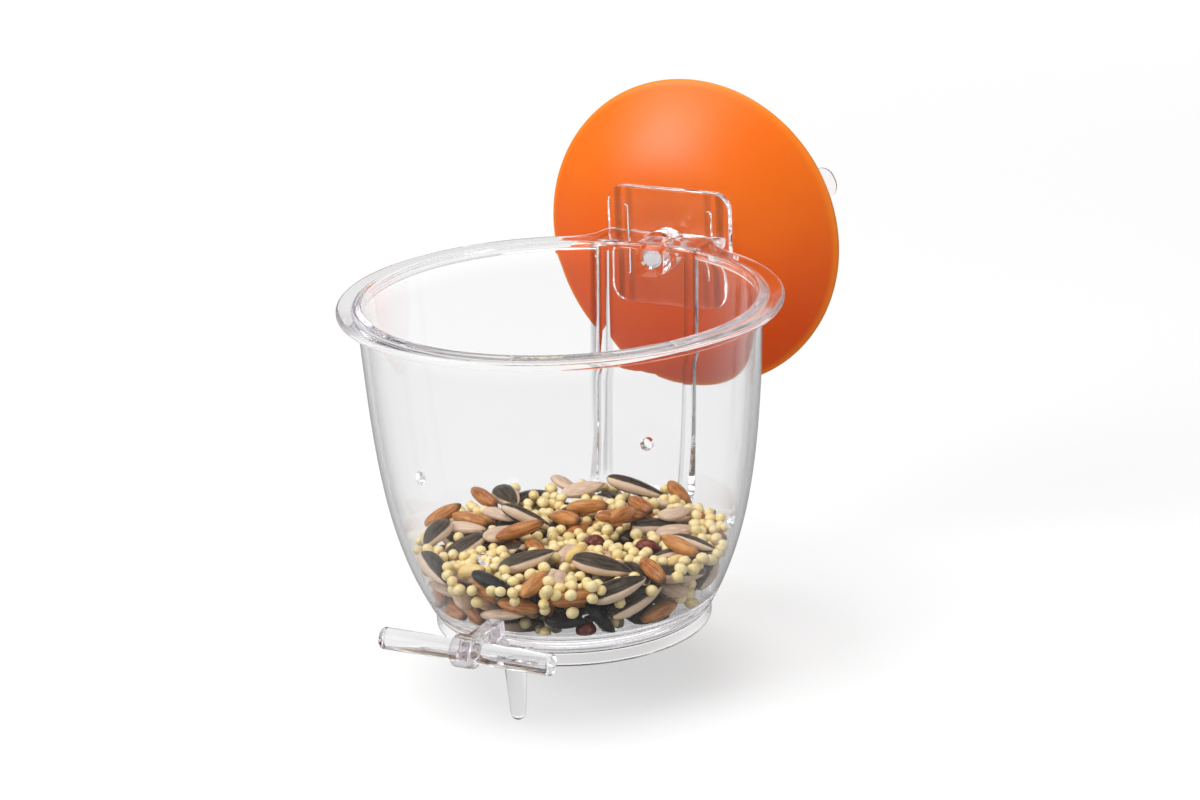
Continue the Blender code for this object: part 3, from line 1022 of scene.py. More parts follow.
    def rib(self, side: int) -> Solid:
        """Extrude one of the plate's two ribs.

        Args:
            side: Sign of its side.

        Returns:
            The solid.
        """
        centre = (side * self.rib_x, self.rib_z - self.rim_z)
        outline = round_rect(self.rib_w, self.rib_len, self.rib_r, centre)
        front = self.plate_front()
        return Solid.slab(outline, front - self.rib_h, front + self.rib_h, View.FRONT, self.fine)

    def boss(self) -> Solid:
        """Extrude the socket boss between the panel and the plate.

        Returns:
            The solid.
        """
        outline = round_rect(self.boss_w, self.boss_h, self.boss_r, (0.0, -self.rim_z))
        start, end = self.panel_top_y - self.boss_in, self.plate_front() + self.boss_out
        return Solid.slab(outline, start, end, View.FRONT, self.boss_soft)

    def collar(self) -> Solid:
        """Make the round collar where the boss meets the plate.

        Returns:
            The solid.
        """
        front = self.plate_front()
        return Solid.bar(
            self.collar_r, front - self.collar_l, front + self.collar_out, View.FRONT,
            (0.0, self.collar_z - self.rim_z), segments=56, soft=self.collar_soft)

    def drain(self, degrees: float) -> Solid:
        """Make one drain hole's cutter, turned about the bowl."""
        hole = Solid.bar(self.drain_r, *self.drain_reach, View.SIDE, (0.0, self.drain_z), segments=32)
        return hole.moved(Matrix.Rotation(math.radians(degrees), 4, "Z"))

    def socket(self, stud: "Stud") -> Solid:
        """Make the cutter of the blind socket with its flat.

        Args:
            stud: The stud that plugs in.

        Returns:
            The cutter.
        """
        end = -self.back - stud.tip - self.socket_end
        back = self.plate_front() + self.plate_t
        hole = Solid.bar(
            stud.radius + self.gap, end, back + BITE, View.FRONT, (0.0, -self.rim_z), segments=48)
        centre = (0.0, stud.flat + self.gap - self.rim_z + self.flat_h / 2)
        outline = round_rect(self.flat_w, self.flat_h, self.flat_r, centre)
        flat = Solid.slab(outline, end - BITE, back - self.socket_step, View.FRONT)
        return hole.take(flat)

    def build(self, stud: "Stud", look: bpy.types.Material) -> bpy.types.Object:
        """Build the cup.

        Args:
            stud: The stud that plugs into the boss.
            look: The cup's material.

        Returns:
            The piece.
        """
        solid = self.outside().add(self.panel()).add(self.tab()).add(self.plate())
        solid.add(self.rib(-1)).add(self.rib(1)).add(self.boss()).add(self.collar())
        solid.take(self.hollow()).take(self.panel_recess())
        for degrees in (0.0, 90.0, 180.0, 270.0):
            solid.take(self.drain(degrees))
        solid.take(self.socket(stud))
        mesh = solid.mesh("cup_shell")
        mesh.transform(self.place())
        return show(mesh, "cup_shell", "cup", "cup_bowl", look)


@dataclass
class Foot:
    """The foot ring: a skirt, a ledge round the cup's spigot and a lug with the peg's hole."""

    radius: float = 0.0309
    skirt_t: float = 0.0018
    height: float = 0.0041
    ledge_r: float = 0.0250
    ledge_t: float = 0.0014
    ledge_soft: float = 0.0002
    soft: float = 0.0005
    inner_soft: float = 0.0004
    lug_r: float = 0.0038
    lug_low: float = 0.0002
    lug_top: float = 0.0006
    lug_gap: float = 0.0003
    slot_y: float = -0.0340

    def top(self, cup: Cup) -> float:
        """Height of the ring's upper face."""
        return -cup.height - cup.gap

    def build(self, cup: Cup, perch: "Perch", look: bpy.types.Material) -> bpy.types.Object:
        """Build the foot ring.

        Args:
            cup: The cup above it.
            perch: The perch whose peg goes through it.
            look: The ring's material.

        Returns:
            The piece.
        """
        top = self.top(cup)
        low = top - self.height
        inner = self.radius - self.skirt_t
        profile = rounded([
            Corner(self.radius, top, self.soft),
            Corner(self.radius, low, self.soft),
            Corner(inner, low, self.inner_soft),
            Corner(inner, top - self.ledge_t, self.inner_soft),
            Corner(self.ledge_r, top - self.ledge_t, self.ledge_soft),
            Corner(self.ledge_r, top, self.ledge_soft),
        ], steps=4)
        ring = Solid.turned(profile, cup.segments, closed=True)
        peg = (0.0, perch.peg_y)
        ends = (low - BITE, top + BITE)
        lug = Solid.bar(
            self.lug_r, low + self.lug_low, top - self.lug_top, View.PLAN, peg, segments=48)
        lug.take(Solid.bar(
            self.ledge_r + self.lug_gap, *ends, View.PLAN, segments=cup.segments))
        ring.add(lug)
        ring.take(Solid.bar(perch.peg_r + cup.gap, *ends, View.PLAN, peg, segments=40))
        half = perch.neck_w / 2 + cup.gap
        slot = [(-half, self.slot_y), (half, self.slot_y), (half, perch.peg_y), (-half, perch.peg_y)]
        ring.take(Solid.slab(slot, top - perch.neck_h - cup.gap, top + BITE, View.PLAN))
        mesh = ring.mesh("foot_hoop")
        mesh.transform(cup.place())
        return show(mesh, "foot_hoop", "cup", "foot_ring", look)


@dataclass
class Perch:
    """The perch: a bracket with an eye and a tapered peg, and the crossbar that turns in the eye."""

    rod_r: float = 0.0024
    rod_half: float = 0.0205
    rod_y: float = -0.0490
    rod_z: float = -0.0646
    eye_r: float = 0.0036
    eye_w: float = 0.0050
    arm_w: float = 0.0042
    arm_h: float = 0.0042
    arm_in: float = 0.0006
    arm_soft: float = 0.0006
    neck_w: float = 0.0028
    neck_h: float = 0.0026
    neck_up: float = 0.0012
    neck_front: float = 0.0016
    neck_back: float = 0.0002
    neck_drop: float = 0.0020
    neck_out: float = 0.0006
    neck_in_y: float = -0.0304
    neck_lap: Point = (0.0004, 0.0022)
    neck_round: Triple = (0.0006, 0.0008, 0.0010)
    neck_soft: float = 0.0003
    bore_half: float = 0.0040
    rod_soft: float = 0.0006
    eye_soft: float = 0.0005
    peg_y: float = -0.0280
    peg_r: float = 0.0023
    swell_r: float = 0.0025
    tip_r: float = 0.0017
    tip_z: float = -0.0889
    peg_soft: Point = (0.0002, 0.0003)
    swell_z: Point = (0.0006, 0.0012)
    swell_in: float = 0.0001

    def levels(self) -> Point:
        """Heights of the arm's upper and lower side."""
        return self.rod_z + self.arm_h / 2, self.rod_z - self.arm_h / 2

    def arm(self, cup: Cup) -> Solid:
        """Extrude the arm from the eye to the bowl.

        Args:
            cup: The cup that it follows.

        Returns:
            The solid.
        """
        top, low = self.levels()
        root = -cup.wall(top) - cup.gap
        side = [(self.rod_y, low), (self.rod_y, top), (root, top), (root + self.arm_in, low)]
        return Solid.slab(side, -self.arm_w / 2, self.arm_w / 2, View.SIDE, self.arm_soft, 4)

    def neck(self, cup: Cup, foot: Foot) -> Solid:
        """Extrude the neck that follows the bowl down and passes through the foot ring's slot.

        Args:
            cup: The cup that it follows.
            foot: The foot ring that it goes through.

        Returns:
            The solid.
        """
        top, low = self.levels()
        root, ring = -cup.wall(top) - cup.gap, foot.top(cup)
        down = low - self.neck_drop
        side = rounded([
            Corner(root - self.neck_front, low + self.neck_up),
            Corner(root - self.neck_back, low + self.neck_up),
            Corner(-cup.wall(down) - cup.gap, down),
            Corner(-cup.wall(-cup.height) - cup.gap, ring + cup.gap),
            Corner(self.neck_in_y, ring),
            Corner(self.peg_y, ring - cup.gap),
            Corner(self.peg_y, ring - self.neck_h),
            Corner(-foot.radius - self.neck_lap[0], ring - self.neck_h, self.neck_round[0]),
            Corner(-foot.radius - self.neck_lap[1], ring, self.neck_round[1]),
            Corner(root - self.neck_out, low - self.neck_up, self.neck_round[2]),
        ])
        return Solid.slab(side, -self.neck_w / 2, self.neck_w / 2, View.SIDE, self.neck_soft)

    def peg(self, cup: Cup, foot: Foot) -> Solid:
        """Turn the peg, which swells below the foot ring and tapers to a round tip.

        Args:
            cup: The cup above it.
            foot: The foot ring that it goes through.

        Returns:
            The solid.
        """
        top = foot.top(cup) - cup.gap
        low = foot.top(cup) - foot.height
        aside, down = self.peg_soft
        profile: list[Point] = [
            (0.0, top), (self.peg_r - aside, top), (self.peg_r, top - down), (self.peg_r, low),
            (self.swell_r - self.swell_in, low - self.swell_z[0]), (self.swell_r, low - self.swell_z[1])]
        for degrees in np.linspace(0.0, 90.0, 9):
            angle = math.radians(degrees)
            profile.append((
                self.tip_r * math.cos(angle), self.tip_z + self.tip_r * (1 - math.sin(angle))))
        profile[-1] = (0.0, self.tip_z)
        return Solid.turned(profile, 48).moved(Matrix.Translation((0.0, self.peg_y, 0.0)))

    def build_bracket(self, cup: Cup, foot: Foot, look: bpy.types.Material) -> bpy.types.Object:
        """Build the bracket.

        Args:
            cup: The cup that it follows.
            foot: The foot ring that it goes through.
            look: The bracket's material.

        Returns:
            The piece.
        """
        axis = (self.rod_y, self.rod_z)
        eye = Solid.bar(
            self.eye_r, -self.eye_w / 2, self.eye_w / 2, View.SIDE, axis, segments=64,
            soft=self.eye_soft)
        bracket = self.arm(cup).add(self.neck(cup, foot)).add(self.peg(cup, foot)).add(eye)
        bracket.take(Solid.bar(
            self.rod_r + cup.gap, -self.bore_half, self.bore_half, View.SIDE, axis, segments=64))
        mesh = bracket.mesh("perch_arm")
        mesh.transform(cup.place())
        return show(mesh, "perch_arm", "cup", "perch_bracket", look)

    def build_rod(self, cup: Cup, look: bpy.types.Material) -> bpy.types.Object:
        """Build the crossbar.

        Args:
            cup: The cup that carries the perch.
            look: The crossbar's material.

        Returns:
            The piece.
        """
        profile = rounded([
            Corner(0.0, self.rod_half),
            Corner(self.rod_r, self.rod_half, self.rod_soft),
            Corner(self.rod_r, -self.rod_half, self.rod_soft),
            Corner(0.0, -self.rod_half),
        ])
        rod = Solid.turned(profile, 64)
        rod.moved(Matrix.Rotation(math.pi / 2, 4, "Y"))
        rod.moved(cup.place() @ Matrix.Translation((0.0, self.rod_y, self.rod_z)))
        mesh = rod.mesh("perch_rod")
        return show(mesh, "perch_rod", "crossbar", "perch_crossbar", look)


# What holds on to the window


def facing_room() -> Matrix:
    """Matrix that turns a profile's height away from the window."""
    return Matrix.Rotation(math.pi / 2, 4, "X")


@dataclass
class Stud:
    """The fixing stud: a button behind the disc, a neck through it and a flatted pin."""

    radius: float = 0.0025
    tip: float = 0.0232
    flat: float = 0.0017
    button_r: float = 0.0070
    button_t: float = 0.0016
    button_soft: float = 0.0004
    tip_soft: float = 0.0007
    neck_soft: float = 0.0003
    flat_half: float = 0.004
    flat_top: float = 0.006
    flat_start: float = -0.030
    flat_end: float = 0.0012

    def build(self, cup: Cup, disc: "Disc", look: bpy.types.Material) -> bpy.types.Object:
        """Build the stud.

        Args:
            cup: The cup that plugs onto it.
            disc: The disc that it goes through.
            look: The stud's material.

        Returns:
            The piece.
        """
        top = disc.core_back() - cup.gap
        profile = rounded([
            Corner(0.0, self.tip),
            Corner(self.radius, self.tip, self.tip_soft),
            Corner(self.radius, top, self.neck_soft),
            Corner(self.button_r, top, self.button_soft),
            Corner(self.button_r, top - self.button_t, self.button_soft),
            Corner(0.0, top - self.button_t),
        ])
        pin = Solid.turned(profile, 56).moved(facing_room())
        half = self.flat_half
        outline = [(-half, self.flat), (half, self.flat), (half, self.flat_top), (-half, self.flat_top)]
        pin.take(Solid.slab(
            outline, self.flat_start, -cup.plate_gap - self.flat_end, View.FRONT))
        return show(pin.mesh("stud_pin"), "stud_pin", "stud", "fixing_stud", look)


@dataclass
class Disc:
    """The suction disc: a domed rubber cup with a thin lip."""

    radius: float = 0.0371
    dome: float = 0.0129
    lip_t: float = 0.0013
    lip_w: float = 0.0046
    core_t: float = 0.0040
    seat_r: float = 0.0080
    back: float = 0.0013
    bore_soft: float = 0.0003
    lip_in: float = 0.0006

    def core_back(self) -> float:
        """Distance of the core's hollow side from the window."""
        return self.dome - self.core_t

    def build(self, stud: Stud, cup: Cup, look: bpy.types.Material) -> bpy.types.Object:
        """Build the disc.

        Args:
            stud: The stud through its middle.
            cup: The cup, for the clearance.
            look: The disc's material.

        Returns:
            The piece.
        """
        bore = stud.radius + cup.gap
        profile: list[Point] = [
            (bore, self.dome - self.bore_soft), (bore + self.bore_soft, self.dome)]
        outer = self.radius - self.lip_in
        for part in np.linspace(0.0, 1.0, 33):
            profile.append((
                self.seat_r + (outer - self.seat_r) * part,
                self.dome - (self.dome - self.back - self.lip_t) * part ** 2))
        edge = self.lip_t / 2
        for degrees in np.linspace(70.0, -90.0, 8)[1:]:
            angle = math.radians(degrees)
            profile.append((
                self.radius - edge + edge * math.cos(angle), self.back + edge + edge * math.sin(angle)))
        inner = self.radius - self.lip_w
        for part in np.linspace(0.0, 1.0, 25):
            profile.append((
                inner - (inner - self.seat_r) * part,
                self.back + (self.core_back() - self.back) * (1 - (1 - part) ** 2)))
        profile.append((bore, self.core_back()))
        solid = Solid.turned(profile, 160, closed=True).moved(facing_room())
        return show(
            solid.mesh("disc_dome"), "disc_dome", "mount", "suction_disc", look)


@dataclass
class Pad:
    """The sealing pad on the window, with its pull tab."""

    radius: float = 0.0361
    thick: float = 0.0010
    angle: float = math.radians(24.0)
    soft: float = 0.0003
    reach: float = 0.0391
    root: float = 0.030
    wide: float = 0.0072
    pull_r: float = 0.0030
    pull_in: float = 0.0001
    pull_soft: float = 0.0002

    def build(self, look: bpy.types.Material) -> bpy.types.Object:
        """Build the pad.

        Args:
            look: The pad's material.

        Returns:
            The piece.
        """
        profile = rounded([
            Corner(0.0, self.thick),
            Corner(self.radius, self.thick, self.soft),
            Corner(self.radius, 0.0, self.soft),
            Corner(0.0, 0.0),
        ])
        pad = Solid.turned(profile, 128).moved(facing_room())
        centre = ((self.reach + self.root) / 2, 0.0)
        outline = round_rect(self.reach - self.root, self.wide, self.pull_r, centre)
        pull = Solid.slab(
            outline, self.pull_in - self.thick, -self.pull_in, View.FRONT, self.pull_soft)
        pad.add(pull.moved(Matrix.Rotation(-self.angle, 4, "Y")))
        return show(pad.mesh("pad_sheet"), "pad_sheet", "mount", "sealing_pad", look)


# The seed


@dataclass(frozen=True)
class SeedForm:
    """Half sizes of a kind of seed in millimetres, how its two ends draw in, and its share of the mix."""

    length: float
    width: float
    depth: float
    blunt: float
    point: float
    around: int
    along: int
    share: float

    def half(self, length: float | None = None) -> np.ndarray:
        """Half sizes of a seed whose whole length may be given."""
        scale = 1.0 if length is None else length / (2 * self.length)
        return np.array((self.length * scale, self.width, self.depth))

    def template(self) -> bpy.types.Mesh:
        """Shape one seed of unit half size, with its grain written on it.

        Returns:
            The mesh.
        """
        shape = bmesh.new()
        bmesh.ops.create_uvsphere(
            shape, u_segments=self.around, v_segments=self.along, radius=1.0)
        bmesh.ops.rotate(
            shape, cent=(0, 0, 0), matrix=Matrix.Rotation(math.pi / 2, 3, "Y"), verts=shape.verts[:])
        grain = shape.verts.layers.float_vector.new("grain")
        shape.verts.layers.float.new("tone")
        # Share of the painted shade between the seeds, filled in by the heap
        shape.verts.layers.float.new("painted_shade")
        fullest = max(self.swell(k / 20) for k in range(-20, 21))
        for vert in shape.verts:
            t = min(max(vert.co.x, -1.0), 1.0)
            ring = math.sqrt(1.0 - t * t)
            if ring < POLE:
                vert[grain] = (t, 0.0, 0.0)
                continue
            vert[grain] = (t, vert.co.y / ring, vert.co.z / ring)
            scale = self.swell(t) / fullest / ring
            vert.co.y *= scale
            vert.co.z *= scale
        mesh = bpy.data.meshes.new("seed_template")
        shape.to_mesh(mesh)
        shape.free()
        return mesh

    def swell(self, t: float) -> float:
        """Fullness of the seed at a place along its length."""
        return max(1.0 + t, 0.0) ** self.blunt * max(1.0 - t, 0.0) ** self.point


class SeedKind(Enum):
    """The kinds of seed in the mix."""

    SUNFLOWER = SeedForm(6.3, 2.9, 1.75, 0.42, 0.68, 14, 12, 0.09)
    HULL = SeedForm(5.2, 2.5, 1.2, 0.44, 0.74, 12, 10, 0.09)
    GRAIN = SeedForm(5.0, 1.85, 1.7, 0.50, 0.57, 12, 10, 0.15)
    BLACK = SeedForm(5.0, 2.1, 1.55, 0.45, 0.66, 12, 10, 0.04)
    KERNEL = SeedForm(3.5, 1.6, 1.45, 0.48, 0.56, 10, 8, 0.03)
    BERRY = SeedForm(2.3, 2.1, 1.9, 0.48, 0.52, 10, 8, 0.03)
    MILLET = SeedForm(1.36, 1.26, 1.23, 0.48, 0.52, 9, 6, 0.57)


@dataclass(frozen=True)
class Laid:
    """A seed that shows at the top of the heap or against the wall, in millimetres and degrees."""

    kind: SeedKind
    x: float
    y: float
    z: float
    yaw: float
    pitch: float
    length: float


@dataclass(frozen=True)
class Seed:
    """A seed at rest in the heap, in millimetres about the cup's axis."""

    kind: SeedKind
    spot: Triple
    turn: Matrix
    half: np.ndarray
    tone: float


SUNFLOWERS = (
    (-26, 17, -55, -40, 0, 12.5), (-21.5, 22.5, -55, 75, 0, 12.5), (2, 29.5, -55, 20, -25, 14.5),
    (-12, 1.5, -55, 20, -20, 13), (-27, -13.5, -55, -85, 0, 12), (-18.5, -14.5, -55, 70, 10, 12.5),
    (-19, -27, -56, -35, -20, 12.5), (28, 4.5, -55, -15, 5, 12), (0, -20.5, -55, 35, 20, 13),
    (16.5, -17, -55, 25, -10, 13.5), (25, -18.5, -60.5, 55, 25, 13.5), (30.5, 4.5, -62.5, -80, -10, 12.5))
HULLS = (
    (-16.5, 29.5, -55, -30, -5, 10.5), (-10.5, 27.5, -55, 35, 15, 10.5), (-19, 2, -55, -20, -5, 10.5),
    (-23, -7, -55, 5, -5, 10.5), (-24.5, -14.5, -55, 65, 0, 10.5), (18, 17, -55, 75, 0, 10.5),
    (21.5, 10.5, -55, 50, -5, 10.5), (4, -11, -55, -85, -10, 10), (9, -24.5, -55, -75, -10, 10),
    (23.5, -21, -57, 45, -5, 10.5), (-0.5, -31, -62, 0, 0, 10.5), (-15.5, -27.5, -59.5, -30, 5, 10.5))
GRAINS = (
    (-32, -2, -55, 35, 25, 10), (-30, 13, -55, -25, -5, 10), (21.5, 22.5, -55, 60, 10, 10),
    (-3.5, 15, -55, 40, 5, 10), (-4.5, 6.5, -55, -20, 0, 10), (-24.5, -2, -55, 0, -10, 10),
    (-25, 5, -55, -30, 5, 10), (-15, -15.5, -55, 35, 20, 11.5), (11, 11, -55, 25, -5, 11.5),
    (9, 18.5, -55, -35, 5, 10), (15, 6, -55, 85, -10, 10), (27.5, -1, -55, -10, -20, 10),
    (27, -14, -55, -35, -5, 10), (6.5, -29.5, -55, 85, 5, 10), (12.5, 31, -55, 10, -40, 8),
    (-3.5, -10, -55, -30, -5, 7.5), (14.5, -28, -57, 30, 0, 10), (3.5, -31, -59.5, 5, 0, 10),
    (15, -27, -60.5, 30, -5, 10), (27.5, -13, -64.5, 65, 5, 10), (-4.5, -31, -59, -5, -25, 7),
    (-15.5, -25, -66, -35, 10, 10))
BLACKS = (
    (-2, -31.5, -56, 0, -15, 11.5), (19, -23.5, -64.5, 40, -60, 10), (12.5, -27.5, -64, 25, -10, 9))
KERNELS = (
    (8, -13, -55, 75, 20, 7), (31.5, -5, -57.5, 80, 0, 7), (-8.5, -29.5, -55.5, -5, 10, 7))
BERRIES = (
    (6.5, -1, -55, 15, 0, 4.5), (18.5, 1, -55, 25, -10, 5.5), (16, -25, -66.5, 30, -5, 4.5))


@dataclass
class Heap:
    """The heap of mixed seed, laid down seed by seed on the height of what lies below."""

    cup: Cup
    reach: float = 37.0
    cells: int = 212
    clear: float = 0.3
    outer: float = 35.4
    wall_start: float = 29.0
    bed: float = -59.5
    brim: float = -55.9
    wall_z: float = -55.3
    press: float = 0.92
    smooth: int = 23
    # Painted shade between the seeds: where it starts below the smoothed surface, the depth over which it
    # grows, and how it fades out near the wall
    painted_shade_start: float = 0.7
    painted_shade_depth: float = 3.2
    painted_shade_wall: Point = (1.5, 3.0)
    chance_start: int = 41
    most: int = 1500
    middle_r: float = 27.0
    verge_r: float = 34.0
    lift: float = 0.3
    crest: float = 3.0
    bed_tries: int = 14
    wall_tries: int = 12
    shown_tries: int = 8
    gap_tries: int = 40
    bed_wall: float = -1.5
    end_wall: float = 0.5
    lean: float = 28.0
    sizes: Point = (0.88, 1.08)
    shown_pitch: float = 7.0
    shown_roll: float = 22.0
    shown_over: float = 1.6
    shown_under: float = 0.6
    shown_in: float = 0.97
    shown_least_r: float = 12.0
    sharp: float = 80.0

    def __post_init__(self) -> None:
        """Start with the bare bowl."""
        self.chance = random.Random(self.chance_start)
        self.line = np.linspace(-self.reach, self.reach, self.cells)
        self.x, self.y = np.meshgrid(self.line, self.line, indexing="ij")
        radius = np.hypot(self.x, self.y)
        self.top = self.bowl(radius)
        self.middle = radius < self.middle_r
        self.verge = (radius > self.wall_start) & (radius < self.verge_r)
        self.seeds: list[Seed] = []

    def full(self) -> bool:
        """Tell whether the heap has as many seeds as it may."""
        return len(self.seeds) >= self.most

    def level(self) -> float:
        """Mean height of the middle of the heap."""
        return self.top[self.middle].mean()

    def step(self) -> float:
        """Distance between two cells."""
        return self.line[1] - self.line[0]

    def bowl(self, radius: np.ndarray) -> np.ndarray:
        """Height of the bowl's inside.

        Args:
            radius: Distances from the cup's axis.

        Returns:
            The heights.
        """
        curve = self.cup.bend / MM
        low = self.cup.floor_z() / MM + curve
        heights = np.linspace(low, -1.0, 200)
        walls = np.array([self.cup.lining(z * MM) / MM for z in heights])
        out = radius + self.clear
        along = np.clip(out - (walls[0] - curve), 0.0, curve)
        bend = low - np.sqrt(np.clip(curve ** 2 - along ** 2, 0.0, None))
        return np.where(out < walls[0], bend, np.interp(out, walls, heights)) + self.lift

    def rest(self, x: float, y: float, turn: Matrix, half: np.ndarray) -> tuple[
            float, tuple[slice, slice], np.ndarray, np.ndarray]:
        """Find where a seed comes to rest on what lies below.

        Args:
            x: Place of its middle.
            y: Place of its middle.
            turn: How it is turned.
            half: Its half sizes.

        Returns:
            Its height, the cells under it, which of them it covers, and the rise of its upper side there.
        """
        axes = np.array(turn) * half * self.press
        spread = axes @ axes.T
        form = np.linalg.inv(spread)
        step = self.step()
        spans = []
        for middle, width in ((x, spread[0, 0]), (y, spread[1, 1])):
            first = int((middle - math.sqrt(width) + self.reach) / step)
            last = int((middle + math.sqrt(width) + self.reach) / step) + 2
            spans.append(slice(max(first, 0), min(last, self.cells)))
        window = (spans[0], spans[1])
        dx, dy = self.x[window] - x, self.y[window] - y
        lean = form[0, 2] * dx + form[1, 2] * dy
        left = form[0, 0] * dx ** 2 + 2 * form[0, 1] * dx * dy + form[1, 1] * dy ** 2 - 1.0
        inside = lean ** 2 - form[2, 2] * left
        covered = inside > 0.0
        root = np.sqrt(np.where(covered, inside, 0.0))
        low = (-lean - root) / form[2, 2]
        high = (-lean + root) / form[2, 2]
        height = float(np.max(np.where(covered, self.top[window] - low, -np.inf)))
        return height, window, covered, high

    def lay(self, kind: SeedKind, tries: Sequence[tuple[float, float, Matrix]], half: np.ndarray) -> None:
        """Lay a seed at the lowest of several places.

        Args:
            kind: Kind of seed.
            tries: Places and turns to choose from.
            half: Its half sizes.
        """
        best = min(
            ((self.rest(x, y, turn, half), x, y, turn) for x, y, turn in tries),
            key=lambda found: found[0][0])
        (height, window, covered, high), x, y, turn = best
        self.top[window] = np.where(
            covered, np.maximum(self.top[window], height + high), self.top[window])
        self.seeds.append(Seed(kind, (x, y, height), turn, half, self.chance.random()))

    def turn(self, yaw: float, pitch: float, roll: float) -> Matrix:
        """Matrix of a seed turned by degrees."""
        return (Matrix.Rotation(math.radians(yaw), 3, "Z")
                @ Matrix.Rotation(math.radians(-pitch), 3, "Y")
                @ Matrix.Rotation(math.radians(roll), 3, "X"))

    def scatter(self, kind: SeedKind, count: int, start: float = 0.0) -> None:
        """Lay a seed at the lowest of several chance places.

        Args:
            kind: Kind of seed.
            count: How many places to try.
            start: Least distance of the places from the cup's axis.
        """
        tries = []
        for _ in range(count):
            radius = math.sqrt(self.chance.uniform(start ** 2, self.outer ** 2))
            angle = math.tau * self.chance.random()
            turn = self.turn(
                self.chance.uniform(0, 360), self.chance.uniform(-self.lean, self.lean),
                self.chance.uniform(-self.lean, self.lean))
            tries.append((radius * math.cos(angle), radius * math.sin(angle), turn))
        self.lay(kind, tries, kind.value.half() * self.chance.uniform(*self.sizes))

    def lay_shown(self, seed: Laid) -> None:
        """Lay a seed that shows, with the best of a few small changes of its turn.

        Args:
            seed: The seed and its place.
        """
        half = seed.kind.value.half(seed.length)
        x, y = seed.x, seed.y
        level = self.turn(seed.yaw, seed.pitch, 0.0)
        highest = seed.z + self.shown_over
        while self.rest(x, y, level, half)[0] > highest and math.hypot(x, y) > self.shown_least_r:
            x, y = self.shown_in * x, self.shown_in * y
        tries = []
        for _ in range(self.shown_tries):
            pitch = seed.pitch + self.chance.uniform(-self.shown_pitch, self.shown_pitch)
            roll = self.chance.uniform(-self.shown_roll, self.shown_roll)
            tries.append((x, y, self.turn(seed.yaw, pitch, roll)))
        self.lay(seed.kind, tries, half)

    def line_wall(self, over: float) -> None:
        """Lay millet along the wall until it stands so far over the middle of the heap."""
        while self.top[self.verge].mean() < self.level() + over and not self.full():
            self.scatter(SeedKind.MILLET, self.wall_tries, self.wall_start)

    def ready(self, seed: Laid) -> bool:
        """Tell whether the heap is high enough for a seed that shows at the wall.

        Args:
            seed: The seed and its place.

        Returns:
            Whether it would rest high enough.
        """
        turn = self.turn(seed.yaw, seed.pitch, 0.0)
        height = self.rest(seed.x, seed.y, turn, seed.kind.value.half(seed.length))[0]
        return height > seed.z - self.shown_under

    def fill(self) -> None:
        """Fill the bowl: a bed, then the seeds that show, then millet in the gaps."""
        tables = {
            SeedKind.SUNFLOWER: SUNFLOWERS, SeedKind.HULL: HULLS, SeedKind.GRAIN: GRAINS,
            SeedKind.BLACK: BLACKS, SeedKind.KERNEL: KERNELS, SeedKind.BERRY: BERRIES}
        shown = [Laid(kind, *row) for kind, rows in tables.items() for row in rows]
        waiting = sorted((seed for seed in shown if seed.z < self.wall_z), key=lambda seed: seed.z)
        kinds = list(SeedKind)
        shares = [kind.value.share for kind in kinds]
        while self.level() < self.bed and not self.full():
            self.scatter(self.chance.choices(kinds, shares)[0], self.bed_tries)
            self.line_wall(self.bed_wall)
            if waiting and self.ready(waiting[0]):
                self.lay_shown(waiting.pop(0))
        for seed in waiting + sorted((s for s in shown if s.z >= self.wall_z), key=lambda s: -s.y):
            self.lay_shown(seed)
        self.line_wall(self.end_wall)
        while self.level() < self.brim and not self.full():
            self.scatter(SeedKind.MILLET, self.gap_tries)

    def surface(self) -> np.ndarray:
        """Smooth the bumps out of the heap's surface.

        Returns:
            The heights.
        """
        level = np.minimum(self.top, self.brim + self.crest)
        kernel = np.full(self.smooth, 1.0 / self.smooth)
        for axis in (0, 1):
            level = np.apply_along_axis(np.convolve, axis, level, kernel, mode="same")
        return level

    def depth(self, spot: Vector, level: np.ndarray) -> float:
        """Tell how far a spot lies below the heap's smoothed surface, for the painted shade between the
        seeds.

        Args:
            spot: The spot in metres about the cup's axis.
            level: Heights of the smoothed surface.

        Returns:
            A share from 0, at the surface and at the wall, to 1.
        """
        x, y, z = spot / MM
        here = level[int((x + self.reach) / self.step()), int((y + self.reach) / self.step())]
        under = (here - self.painted_shade_start - z) / self.painted_shade_depth
        past, fade = self.painted_shade_wall
        inward = (self.wall_start + past - math.hypot(x, y)) / fade
        return min(max(under, 0.0), 1.0) * min(max(inward, 0.0), 1.0)

    def build(self, looks: dict[SeedKind, bpy.types.Material]) -> list[bpy.types.Object]:
        """Build the heap, one piece for each kind of seed.

        Args:
            looks: Material of each kind.

        Returns:
            The pieces.
        """
        self.fill()
        level = self.surface()
        pieces = []
        for kind in SeedKind:
            template = kind.value.template()
            shape = bmesh.new()
            shape.from_mesh(template)
            tone = shape.verts.layers.float["tone"]
            painted_shade = shape.verts.layers.float["painted_shade"]
            bmesh.ops.delete(shape, geom=shape.verts[:], context="VERTS")
            for seed in (s for s in self.seeds if s.kind is kind):
                count = len(shape.verts)
                shape.from_mesh(template)
                shape.verts.ensure_lookup_table()
                fresh = shape.verts[count:]
                place = Matrix.Translation(Vector(seed.spot) * MM)
                size = Matrix.Diagonal((*(seed.half * MM), 1.0))
                bmesh.ops.transform(shape, matrix=place @ seed.turn.to_4x4() @ size, verts=fresh)
                for vert in fresh:
                    vert[tone] = seed.tone
